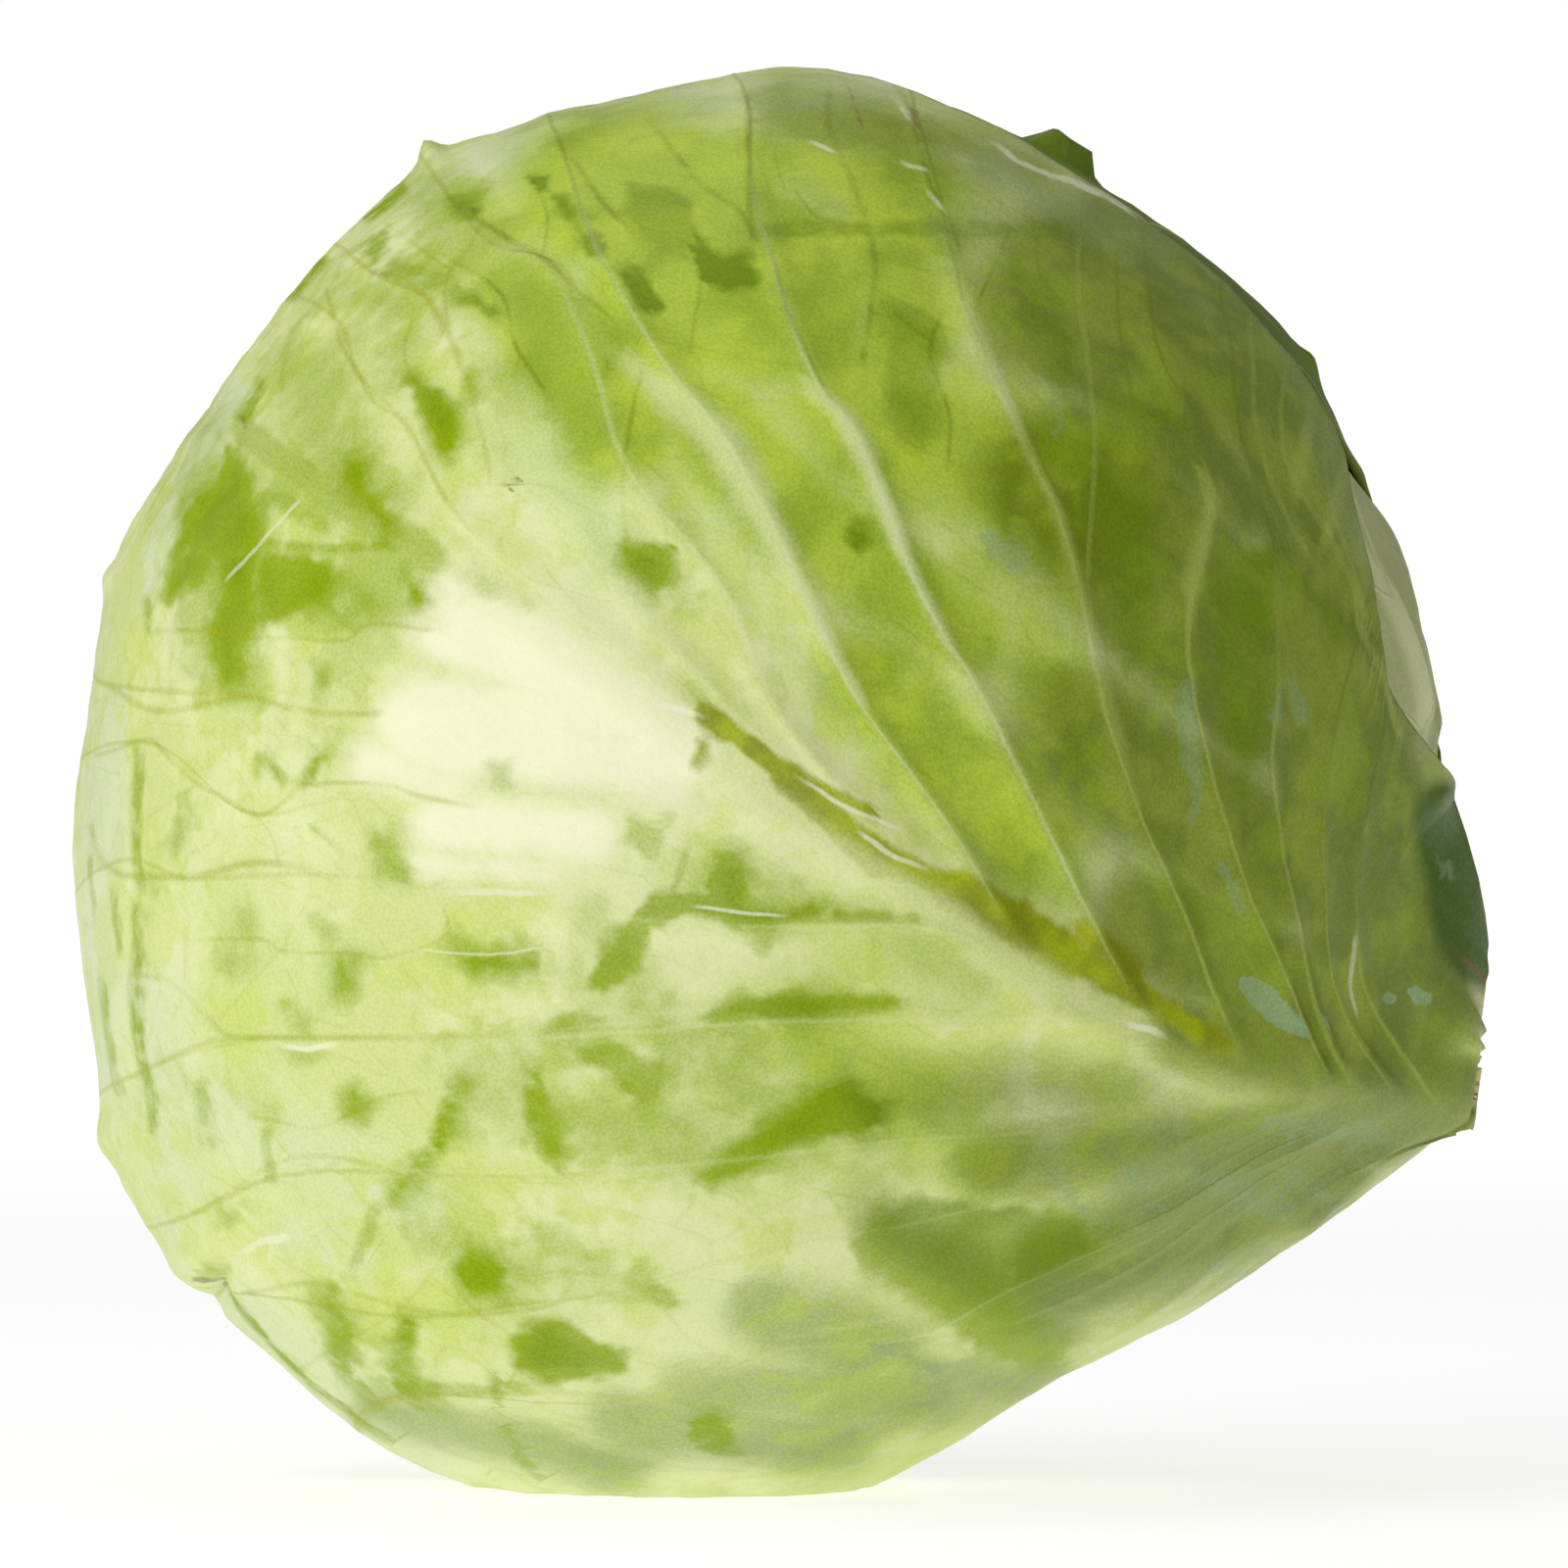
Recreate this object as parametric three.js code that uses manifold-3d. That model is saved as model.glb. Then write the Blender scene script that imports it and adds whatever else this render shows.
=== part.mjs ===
// A white cabbage head lying on its side, in millimetres, +Z up.
// The stem points down to the right (+X), the large front leaf faces -Y,
// and the head rests on a small flat spot under its weight at Z = 0.
// Every leaf is a layer over one shared head surface, which is described by its
// distance from the head's centre in each direction.
import * as THREE from 'three';
import { mergeVertices } from 'three/addons/utils/BufferGeometryUtils.js';
import Module from 'manifold-3d';

const wasm = await Module();
wasm.setup();

// Head
const headCentre = new THREE.Vector3(-6.38, 1, 89.7);
const headDepthRadius = 87;
const stemTilt = -20.3;            // degrees of the stem's axis from +X in the XZ plane
const neckHeight = 12;             // how far the leaf bases rise round the stem
const neckSpread = 17;             // degrees
const waveHeight = 0.9;            // broad dents and swellings of the wrapped leaves

// Outline seen from the front: [degrees from +X towards +Z, distance from the centre]
const frontOutline = [
  [0, 87.2], [15, 88.1], [28, 88.6], [38, 90.4], [52, 88.8], [66, 89.3], [80, 91], [96, 89],
  [110, 88.3], [126, 86.2], [142, 83.6], [160, 84.2], [178, 84.1], [192, 86.4], [204, 89.9],
  [214, 93.2], [228, 94.4], [242, 95.7], [254, 94.4], [266, 92.9], [276, 91.5], [286, 88.5],
  [297, 85.4], [312, 87.5], [336, 88.2],
];

// Cut end of the stem and of the leaf bases round it
const cutTilt = -7;                // degrees of the cut face's normal from +X
const cutDistance = 96.3;          // from the head's centre
const cutSpread = 8;               // degrees round the stem that the knife reached
const cutRise = 0.8;               // mm for each degree past that

// Leaves and stem
const leafThickness = 0.9;
const leafGap = 0.95;
const leafPitch = leafThickness + leafGap;
const heartGap = 1;
const flatClearance = 1.1;         // more room between the layers over the resting flat
const pieceGap = 0.3;
const stemRadius = 8;
const stemStart = 66;              // distance of the stem's inner end from the centre
const stemSides = 28;
const coverGuard = 4;              // degrees past a leaf's edge where it still holds down the next
const coverFade = 24;              // degrees past the edge where the next leaf is free again
const edgeSteps = 40;
const heartColumns = 36;
const heartRows = 22;

const columnCrowding = 1.35;       // how much closer the ribs stand near the stem
const midribHalfWidth = [6, 1.6];  // at the stem and at the tip
const midribTaper = 0.85;          // share of its height that the midrib loses to the tip
const edgeWaves = 11;              // ripples round a leaf's edge
const freeFrom = 0.4;              // how bare a lower leaf is where its ribs start to stand out

const mmPerDegree = headDepthRadius * Math.PI / 180;
const radians = THREE.MathUtils.degToRad;
const degrees = THREE.MathUtils.radToDeg;

function inFrontPlane(angle) {
  return new THREE.Vector3(Math.cos(radians(angle)), 0, Math.sin(radians(angle)));
}

const stemAxis = inFrontPlane(stemTilt);
const upAxis = inFrontPlane(stemTilt + 90);
const frontAxis = new THREE.Vector3(0, -1, 0);
const cutNormal = inFrontPlane(cutTilt);

// Direction at an angle from the stem, and round it: 0 front, 90 top, 180 back, 270 under
function headDirection(fromStem, round) {
  const side = frontAxis.clone().multiplyScalar(Math.cos(radians(round)));
  side.addScaledVector(upAxis, Math.sin(radians(round)));
  const direction = stemAxis.clone().multiplyScalar(Math.cos(radians(fromStem)));
  return direction.addScaledVector(side, Math.sin(radians(fromStem))).normalize();
}

// Smooth closed curve through [degrees, value] points in rising order
function loopValue(points, angle) {
  const first = points[0][0];
  const turned = THREE.MathUtils.euclideanModulo(angle - first, 360) + first;
  const at = (index) => {
    const turns = Math.floor(index / points.length);
    const [degree, value] = points[index - turns * points.length];
    return [degree + 360 * turns, value];
  };
  let index = 0;
  while (index < points.length - 1 && points[index + 1][0] <= turned) index += 1;
  const [before, start, end, after] = [index - 1, index, index + 1, index + 2].map(at);
  const span = end[0] - start[0];
  const t = (turned - start[0]) / span;
  const startSlope = (end[1] - before[1]) / (end[0] - before[0]) * span;
  const endSlope = (after[1] - start[1]) / (after[0] - start[0]) * span;
  const rise = end[1] - start[1];
  return start[1] + t * (startSlope + t * (3 * rise - 2 * startSlope - endSlope
    + t * (startSlope + endSlope - 2 * rise)));
}

function fall(value, from, to) {
  return 1 - THREE.MathUtils.smoothstep(value, from, to);
}

// Head surface before anything flattens it
function freeRadius(direction) {
  const outline = loopValue(frontOutline, degrees(Math.atan2(direction.z, direction.x)));
  const depthShare = direction.y * direction.y;
  const fromStem = degrees(direction.angleTo(stemAxis));
  const waves = Math.sin(5.2 * direction.x + 1.1) * Math.cos(4.6 * direction.z - 0.7)
    + 0.6 * Math.sin(7.4 * direction.z + 3.1 * direction.y);
  return outline + (headDepthRadius - outline) * depthShare
    + neckHeight * Math.exp(-((fromStem / neckSpread) ** 2))
    + waveHeight * waves * depthShare;
}

// The surface that the head rests on and the knife's cut hold the leaves back
function heldRadius(direction, clearance) {
  let held = Infinity;
  if (direction.z < -0.1) held = (headCentre.z - clearance) / -direction.z;
  const facing = direction.dot(cutNormal);
  if (facing > 0.5) {
    const past = Math.max(0, degrees(direction.angleTo(stemAxis)) - cutSpread);
    held = Math.min(held, cutDistance / facing + cutRise * past);
  }
  return held;
}

// Each leaf lies round its own middle direction. In its flat coordinates, in degrees,
// X runs along the leaf towards the tip and Y across it. reach is the edge, as
// [degrees from the tip's way towards +Y, distance from the middle]. midrib runs from
// the stem to the tip. sweep says how fast the side ribs fan out on the two sides and
// bow how far they bend to the midrib. curls lift the edge, as [degrees round the
// edge, half width in degrees, height in mm], and bumps lift the blade, as
// [X, Y, half width in degrees, height in mm]. Leaves are in order from the outside in.
const leaves = [
  {
    name: 'leaf_front', colour: 0xa3b84e, fromStem: 90, round: 0,
    midrib: [[-92, -5], [-65, -10], [-48, -9], [-29, -6], [-12, -1], [5, 4], [20, 8], [56, 14], [94, 18]],
    reach: [
      [-170, 94], [-155, 97], [-130, 103], [-110, 108], [-90, 105], [-70, 101], [-50, 99],
      [-20, 96], [0, 96], [20, 97], [40, 98], [60, 97], [75, 89], [92, 75.5], [103, 75.8],
      [114, 77], [122, 80.5], [128, 84], [135, 74.5], [142, 67.5], [150, 67], [155, 70],
      [160, 81], [170, 92], [180, 92.5],
    ],
    baseAngles: [171, -168], tipAngle: 11, sweep: [3.2, 3.5], bow: [0.12, 0.3],
    columns: 36, rows: 12, midribHeight: 4, ribHeight: 1.1, edgeLift: 0.5, edgeWave: 0.7,
    curls: [[44, 4, 1.5], [-50, 6, 1], [-2, 6, 1], [122, 7, 1.5], [168, 9, 4]], bumps: [],
  },
  {
    name: 'leaf_top', colour: 0x6f8434, fromStem: 82, round: 128,
    midrib: [[-85, 0], [-40, -3], [0, -4], [72, 3]],
    reach: [
      [-174, 80], [-164, 54], [-145, 45], [-122, 51], [-90, 56], [-60, 59], [-30, 66], [0, 72],
      [30, 61], [60, 50], [90, 46], [120, 43], [145, 42], [164, 53], [174, 80], [180, 85],
    ],
    baseAngles: [174, -174], tipAngle: 0, sweep: [3, 3], bow: [0.12, 0.12],
    columns: 22, rows: 8, midribHeight: 3.5, ribHeight: 0.9, edgeLift: 1, edgeWave: 0.9,
    curls: [[70, 9, 2], [20, 8, 1.5]], bumps: [[4, -38, 7, 3], [-30, -36, 7, 2]],
  },
  {
    name: 'leaf_under', colour: 0x9fb162, fromStem: 84, round: 242,
    midrib: [[-87, 0], [-40, 4], [0, 5], [78, -4]],
    reach: [
      [-174, 82], [-164, 58], [-145, 47], [-120, 45], [-90, 48], [-60, 54], [-30, 66], [0, 78],
      [30, 74], [60, 70], [90, 66], [120, 60], [145, 54], [164, 62], [174, 82], [180, 87],
    ],
    baseAngles: [174, -174], tipAngle: 0, sweep: [3, 3], bow: [0.12, 0.12],
    columns: 22, rows: 8, midribHeight: 3.5, ribHeight: 0.9, edgeLift: 1, edgeWave: 0.8,
    curls: [[-80, 9, 2], [-35, 8, 2.5], [-130, 8, 1.5]], bumps: [],
  },
  {
    name: 'leaf_back', colour: 0xafc074, fromStem: 88, round: 186,
    midrib: [[-91, 0], [-40, 2], [0, 1], [80, -3]],
    reach: [
      [-174, 86], [-164, 62], [-145, 54], [-120, 58], [-90, 64], [-60, 68], [-30, 74], [0, 80],
      [30, 74], [60, 67], [90, 62], [120, 56], [145, 53], [164, 62], [174, 86], [180, 91],
    ],
    baseAngles: [174, -174], tipAngle: 0, sweep: [3, 3], bow: [0.12, 0.12],
    columns: 22, rows: 8, midribHeight: 3, ribHeight: 0.8, edgeLift: 0.6, edgeWave: 0.6,
    curls: [], bumps: [],
  },
  {
    name: 'leaf_inner', colour: 0xc6cf9b, fromStem: 78, round: 62,
    midrib: [[-81, 0], [-40, 2], [0, 2], [66, -2]],
    reach: [
      [-174, 76], [-160, 56], [-140, 52], [-110, 54], [-80, 58], [-40, 62], [0, 66],
      [40, 60], [80, 54], [110, 46], [140, 44], [160, 52], [174, 76], [180, 81],
    ],
    baseAngles: [174, -174], tipAngle: 0, sweep: [3, 3], bow: [0.12, 0.12],
    columns: 20, rows: 7, midribHeight: 2, ribHeight: 0.6, edgeLift: 0.3, edgeWave: 0.3,
    curls: [], bumps: [],
  },
];

for (const leaf of leaves) {
  leaf.middle = headDirection(leaf.fromStem, leaf.round);
  leaf.along = stemAxis.clone().negate().addScaledVector(leaf.middle, stemAxis.dot(leaf.middle));
  leaf.along.normalize();
  leaf.across = new THREE.Vector3().crossVectors(leaf.along, leaf.middle);
  leaf.midribLine = new THREE.SplineCurve(leaf.midrib.map(([x, y]) => new THREE.Vector2(x, y)));
}

function fromFlat(leaf, point) {
  const spread = point.length();
  if (spread < 1e-6) return leaf.middle.clone();
  const direction = leaf.middle.clone().multiplyScalar(Math.cos(radians(spread)));
  direction.addScaledVector(leaf.along, Math.sin(radians(spread)) * point.x / spread);
  direction.addScaledVector(leaf.across, Math.sin(radians(spread)) * point.y / spread);
  return direction.normalize();
}

function edgePoint(leaf, angle) {
  const distance = loopValue(leaf.reach, angle);
  return new THREE.Vector2(Math.cos(radians(angle)), Math.sin(radians(angle)))
    .multiplyScalar(distance);
}

// The edge on each side, from the base to the tip
for (const leaf of leaves) {
  leaf.edges = leaf.baseAngles.map((start) => {
    const points = [];
    for (let step = 0; step <= edgeSteps; step += 1) {
      points.push(edgePoint(leaf, THREE.MathUtils.lerp(start, leaf.tipAngle, step / edgeSteps)));
    }
    return new THREE.SplineCurve(points);
  });
}

// How many degrees a direction lies outside a leaf's edge, negative inside
function pastEdge(leaf, direction) {
  const spread = degrees(direction.angleTo(leaf.middle));
  const angle = degrees(Math.atan2(direction.dot(leaf.across), direction.dot(leaf.along)));
  const slope = degrees(loopValue(leaf.reach, angle + 1) - loopValue(leaf.reach, angle - 1)) / 2;
  const lean = slope / Math.max(spread, 20);
  return (spread - loopValue(leaf.reach, angle)) / Math.sqrt(1 + lean * lean);
}

function cover(leaf, direction) {
  return fall(pastEdge(leaf, direction), coverGuard, coverFade);
}

// Depth of a layer under all leaves outside it, and how bare it is there
function layering(layer, direction) {
  let depth = 0;
  let bare = 1;
  for (const leaf of leaves.slice(0, layer)) {
    const covered = cover(leaf, direction);
    depth += leafPitch * covered;
    bare *= 1 - covered;
  }
  return { depth, bare };
}

function onHead(direction, radius) {
  return headCentre.clone().addScaledVector(direction, radius);
}

// Share of the way along the edge where the rib from place u of the midrib ends
function edgeShare(u, sweep) {
  return 1 - 0.85 * (1 - u) ** sweep - 0.15 * (1 - u);
}

// One place of a leaf's net: u runs along the midrib and v from it (0) to the edge (1)
function netPoint(leaf, u, v, side) {
  const foot = leaf.midribLine.getPointAt(u);
  const which = side > 0 ? 0 : 1;
  const end = leaf.edges[which].getPointAt(edgeShare(u, leaf.sweep[which]));
  const edgeAngle = degrees(end.angle());
  const rise = end.y - foot.y;
  const bend = new THREE.Vector2(
    (foot.x + end.x) / 2 + 0.1 * Math.abs(rise),
    foot.y + (0.5 - leaf.bow[which]) * rise,
  );
  const rib = new THREE.QuadraticBezierCurve(foot, bend, end);
  return { flat: rib.getPoint(v), edgeAngle, length: rib.getLength() };
}

function curlLift(leaf, edgeAngle) {
  let lift = 0;
  for (const [angle, halfWidth, height] of leaf.curls) {
    const off = THREE.MathUtils.euclideanModulo(edgeAngle - angle + 180, 360) - 180;
    lift += height * Math.exp(-((off / halfWidth) ** 2));
  }
  return lift;
}

function bumpLift(leaf, flat) {
  let lift = 0;
  for (const [x, y, halfWidth, height] of leaf.bumps) {
    lift += height * Math.exp(-((flat.x - x) ** 2 + (flat.y - y) ** 2) / halfWidth ** 2);
  }
  return lift;
}

// Outer and inner corner of a leaf at one place of its net
function leafCorners(leaf, layer, column, row) {
  const side = row < 0 ? -1 : 1;
  const step = Math.abs(row);
  const u = (column / leaf.columns) ** columnCrowding;
  const { length } = netPoint(leaf, u, 0, side);
  const ribLength = Math.max(1, length * mmPerDegree);
  const footShare = Math.min(0.3, THREE.MathUtils.lerp(...midribHalfWidth, u) / ribLength);
  const v = step === 0 ? 0 : footShare + (1 - footShare) * (step - 1) / (leaf.rows - 1);
  const { flat, edgeAngle } = netPoint(leaf, u, v, side);
  const direction = fromFlat(leaf, flat);
  const { depth, bare } = layering(layer, direction);
  const free = THREE.MathUtils.smoothstep(bare, freeFrom, 1);

  const nearEdge = THREE.MathUtils.smoothstep(v, 0.55, 1);
  const wave = leaf.edgeWave * Math.sin(radians(edgeAngle * edgeWaves + leaf.round));
  const lift = nearEdge * (leaf.edgeLift + wave + curlLift(leaf, edgeAngle))
    + bumpLift(leaf, flat);
  const crest = step === 0 ? leaf.midribHeight * (1 - midribTaper * u) : 0;
  const isRib = column % 2 === 1 && step > 0;
  const rib = isRib ? leaf.ribHeight * (1 - v * v) * (1 - 0.5 * u) : 0;

  const surface = freeRadius(direction) + lift * free;
  const held = heldRadius(direction, layer > 0 ? flatClearance : 0);
  const outer = Math.min(surface + (crest + rib) * free, held) - depth;
  const inner = Math.min(surface, held) - depth - leafThickness;
  return [onHead(direction, outer), onHead(direction, inner)];
}

// A closed leaf: the same net of triangles on both faces, and a rim round them
function leafGeometry(leaf, layer) {
  const positions = [];
  const corners = new Map();
  const addCorners = (column, row) => {
    const key = column === leaf.columns ? 'tip' : `${column},${row}`;
    if (!corners.has(key)) {
      corners.set(key, positions.length / 3);
      const row0 = column === leaf.columns ? 0 : row;
      for (const place of leafCorners(leaf, layer, column, row0)) positions.push(...place);
    }
    return corners.get(key);
  };
  const faces = [];
  const addFace = (a, b, c) => {
    if (a === b || b === c || a === c) return;
    faces.push(a, b, c);
    faces.push(a + 1, c + 1, b + 1);
  };
  const corner = (index) => new THREE.Vector3().fromArray(positions, 3 * index);
  const apart = (a, b) => corner(a).distanceTo(corner(b));
  for (let column = 0; column < leaf.columns; column += 1) {
    for (let row = -leaf.rows; row < leaf.rows; row += 1) {
      const a = addCorners(column, row);
      const b = addCorners(column, row + 1);
      const c = addCorners(column + 1, row + 1);
      const d = addCorners(column + 1, row);
      if (apart(a, c) < apart(b, d)) {
        addFace(a, b, c);
        addFace(a, c, d);
      } else {
        addFace(a, b, d);
        addFace(b, c, d);
      }
    }
  }
  const rim = [];
  for (let row = -leaf.rows; row <= leaf.rows; row += 1) rim.push(addCorners(0, row));
  for (let column = 1; column < leaf.columns; column += 1) rim.push(addCorners(column, leaf.rows));
  rim.push(addCorners(leaf.columns, 0));
  for (let column = leaf.columns - 1; column > 0; column -= 1) {
    rim.push(addCorners(column, -leaf.rows));
  }
  rim.forEach((a, index) => {
    const b = rim[(index + 1) % rim.length];
    faces.push(b, a, a + 1);
    faces.push(b, a + 1, b + 1);
  });
  const geometry = new THREE.BufferGeometry();
  geometry.setAttribute('position', new THREE.Float32BufferAttribute(positions, 3));
  geometry.setIndex(faces);
  return geometry;
}

// The heart is the ball of packed inner leaves under the loose ones
function heartGeometry() {
  const geometry = new THREE.SphereGeometry(1, heartColumns, heartRows);
  geometry.deleteAttribute('normal');
  geometry.deleteAttribute('uv');
  const place = geometry.attributes.position;
  for (let index = 0; index < place.count; index += 1) {
    const local = new THREE.Vector3().fromBufferAttribute(place, index).normalize();
    const direction = stemAxis.clone().multiplyScalar(local.y)
      .addScaledVector(upAxis, local.x).addScaledVector(frontAxis, -local.z).normalize();
    const { depth, bare } = layering(leaves.length, direction);
    const radius = Math.min(freeRadius(direction), heldRadius(direction, flatClearance)) - depth;
    const point = onHead(direction, radius - heartGap * (1 - bare));
    place.setXYZ(index, point.x, point.y, point.z);
  }
  return geometry;
}

// Round bar along the stem's axis, from one distance from the centre to another
function stemBar(radius, start, end) {
  const geometry = new THREE.CylinderGeometry(radius, radius, end - start, stemSides);
  geometry.applyQuaternion(
    new THREE.Quaternion().setFromUnitVectors(new THREE.Vector3(0, 1, 0), stemAxis),
  );
  const middle = onHead(stemAxis, (start + end) / 2);
  return geometry.translate(middle.x, middle.y, middle.z);
}

// Everything past the knife's cut
function pastCut() {
  const size = 60;
  const block = new THREE.BoxGeometry(size, size, size);
  block.rotateY(-radians(cutTilt));
  const middle = onHead(stemAxis, cutDistance / stemAxis.dot(cutNormal));
  middle.addScaledVector(cutNormal, size / 2);
  return block.translate(middle.x, middle.y, middle.z);
}

function toSolid(geometry) {
  const plain = geometry.clone();
  for (const name of Object.keys(plain.attributes)) {
    if (name !== 'position') plain.deleteAttribute(name);
  }
  const merged = mergeVertices(plain, 1e-5);
  return new wasm.Manifold(new wasm.Mesh({
    numProp: 3,
    vertProperties: new Float32Array(merged.attributes.position.array),
    triVerts: new Uint32Array(merged.index.array),
  }));
}

function toGeometry(solid) {
  const mesh = solid.getMesh();
  const geometry = new THREE.BufferGeometry();
  geometry.setAttribute('position', new THREE.BufferAttribute(new Float32Array(mesh.vertProperties), 3));
  geometry.setIndex(new THREE.BufferAttribute(new Uint32Array(mesh.triVerts), 1));
  geometry.computeVertexNormals();
  return geometry;
}

const head = new THREE.Group();

function addPiece(name, solid, colour, roughness) {
  const material = new THREE.MeshStandardMaterial({ color: colour, roughness, metalness: 0 });
  const piece = new THREE.Mesh(toGeometry(solid), material);
  piece.name = name;
  head.add(piece);
}

const stemHole = toSolid(stemBar(stemRadius + pieceGap, stemStart - pieceGap, cutDistance + 30));
leaves.forEach((leaf, layer) => {
  const solid = toSolid(leafGeometry(leaf, layer)).subtract(stemHole);
  addPiece(leaf.name, solid, leaf.colour, 0.45);
});
addPiece('heart', toSolid(heartGeometry()).subtract(stemHole), 0xd3d9ab, 0.5);
const stem = toSolid(stemBar(stemRadius, stemStart, cutDistance + 20)).subtract(toSolid(pastCut()));
addPiece('stem', stem, 0xcfd0a2, 0.75);

export default head;
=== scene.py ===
import math

import bmesh
import bpy
import numpy as np
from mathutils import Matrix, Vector, noise


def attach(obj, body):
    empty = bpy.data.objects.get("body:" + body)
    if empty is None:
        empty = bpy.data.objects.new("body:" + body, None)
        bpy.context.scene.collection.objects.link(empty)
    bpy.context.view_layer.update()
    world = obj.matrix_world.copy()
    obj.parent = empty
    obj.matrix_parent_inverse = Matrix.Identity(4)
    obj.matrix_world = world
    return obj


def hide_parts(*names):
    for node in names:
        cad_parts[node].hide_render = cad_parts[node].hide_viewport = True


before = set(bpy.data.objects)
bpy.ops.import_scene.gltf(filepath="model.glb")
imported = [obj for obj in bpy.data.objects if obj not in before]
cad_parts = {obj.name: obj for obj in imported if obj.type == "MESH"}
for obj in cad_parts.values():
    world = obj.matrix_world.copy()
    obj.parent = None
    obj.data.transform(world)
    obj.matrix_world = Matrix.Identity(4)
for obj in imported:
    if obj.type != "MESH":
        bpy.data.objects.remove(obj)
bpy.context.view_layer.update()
print("stage: frame loaded")

mm = 0.001

# The shared head surface, in millimetres and degrees: the same form as the solid pieces
head = {
    "centre": (-6.38, 1.0, 89.7),
    "depthRadius": 87,
    "stemTilt": -20.3,          # degrees of the stem from +X in the XZ plane
    "neckHeight": 12,
    "neckSpread": 17,
    "waveHeight": 0.9,
    "cutTilt": -7,
    "cutDistance": 96.3,
    "cutSpread": 8,
    "cutRise": 0.8,
    "outline": [(0, 87.2), (15, 88.1), (28, 88.6), (38, 90.4), (52, 88.8), (66, 89.3), (80, 91),
                (96, 89), (110, 88.3), (126, 86.2), (142, 83.6), (160, 84.2), (178, 84.1),
                (192, 86.4), (204, 89.9), (214, 93.2), (228, 94.4), (242, 95.7), (254, 94.4),
                (266, 92.9), (276, 91.5), (286, 88.5), (297, 85.4), (312, 87.5), (336, 88.2)],
}

# How the layers lie on each other
layers = {
    "thickness": 0.85,
    "pitch": 1.35,
    "guard": 1.5,               # degrees past a leaf's edge where it still holds down the next
    "fade": 13,                 # degrees past the edge where the next leaf is free again
    "flatClearance": 0.5,
    "heartGap": 0.5,
}

# The camera stands level, straight in front; photo pixels are those of a 1600 x 1600 frame
view = {
    "distance": 1500,           # mm from the head's middle plane
    "mmPerPixel": 0.125,        # in that plane
    "imageSize": 1600,
    "middleX": -1.405,          # mm, what the picture's middle shows
    "middleZ": 89.75,
}


def inFrontPlane(angle):
    return np.array([math.cos(math.radians(angle)), 0.0, math.sin(math.radians(angle))])


headCentre = np.array(head["centre"])
stemAxis = inFrontPlane(head["stemTilt"])
upAxis = inFrontPlane(head["stemTilt"] + 90)
frontAxis = np.array([0.0, -1.0, 0.0])
cutNormal = inFrontPlane(head["cutTilt"])
mmPerDegree = head["depthRadius"] * math.pi / 180


def smoothStep(value, low, high):
    t = np.clip((value - low) / (high - low), 0, 1)
    return t * t * (3 - 2 * t)


def bell(value, width):
    return np.exp(-(value / width) ** 2)


def angleFrom(directions, axis):
    return np.degrees(np.arccos(np.clip(directions @ axis, -1, 1)))


# Direction at an angle from the stem, and round it: 0 front, 90 top, 180 back, 270 under
def headDirection(fromStem, around):
    side = frontAxis * math.cos(math.radians(around)) + upAxis * math.sin(math.radians(around))
    return stemAxis * math.cos(math.radians(fromStem)) + side * math.sin(math.radians(fromStem))


# Smooth closed curve through (degrees, value) points, read at many angles
def loopValue(points, angles):
    degree = np.array([p[0] for p in points], float)
    value = np.array([p[1] for p in points], float)
    degree = np.concatenate([degree[-2:] - 360, degree, degree[:3] + 360])
    value = np.concatenate([value[-2:], value, value[:3]])
    turned = (angles - points[0][0]) % 360 + points[0][0]
    i = np.clip(np.searchsorted(degree, turned, side="right") - 1, 1, len(degree) - 3)
    span = degree[i + 1] - degree[i]
    t = (turned - degree[i]) / span
    startSlope = (value[i + 1] - value[i - 1]) / (degree[i + 1] - degree[i - 1]) * span
    endSlope = (value[i + 2] - value[i]) / (degree[i + 2] - degree[i]) * span
    rise = value[i + 1] - value[i]
    return value[i] + t * (startSlope + t * (3 * rise - 2 * startSlope - endSlope
                                             + t * (startSlope + endSlope - 2 * rise)))


def freeRadius(d):
    outline = loopValue(head["outline"], np.degrees(np.arctan2(d[:, 2], d[:, 0])))
    depthShare = d[:, 1] ** 2
    waves = (np.sin(5.2 * d[:, 0] + 1.1) * np.cos(4.6 * d[:, 2] - 0.7)
             + 0.6 * np.sin(7.4 * d[:, 2] + 3.1 * d[:, 1]))
    return (outline + (head["depthRadius"] - outline) * depthShare
            + head["neckHeight"] * bell(angleFrom(d, stemAxis), head["neckSpread"])
            + head["waveHeight"] * waves * depthShare)


# The surface that the head rests on and the knife's cut hold the leaves back
def heldRadius(d, clearance):
    down = np.maximum(-d[:, 2], 0.1)
    held = np.where(d[:, 2] < -0.1, (headCentre[2] - clearance) / down, np.inf)
    facing = np.maximum(d @ cutNormal, 0.5)
    past = np.maximum(0, angleFrom(d, stemAxis) - head["cutSpread"])
    cut = head["cutDistance"] / facing + head["cutRise"] * past
    return np.minimum(held, np.where(d @ cutNormal > 0.5, cut, np.inf))


def onHead(d, radius):
    return headCentre + d * radius[:, None]


# Where a place on the head shows in the photo
def toPixel(points):
    scale = view["distance"] / (view["distance"] + points[:, 1] - headCentre[1])
    half = view["imageSize"] / 2
    x = half + (points[:, 0] - view["middleX"]) * scale / view["mmPerPixel"]
    y = half - (points[:, 2] - view["middleZ"]) * scale / view["mmPerPixel"]
    return np.stack([x, y], 1)


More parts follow.
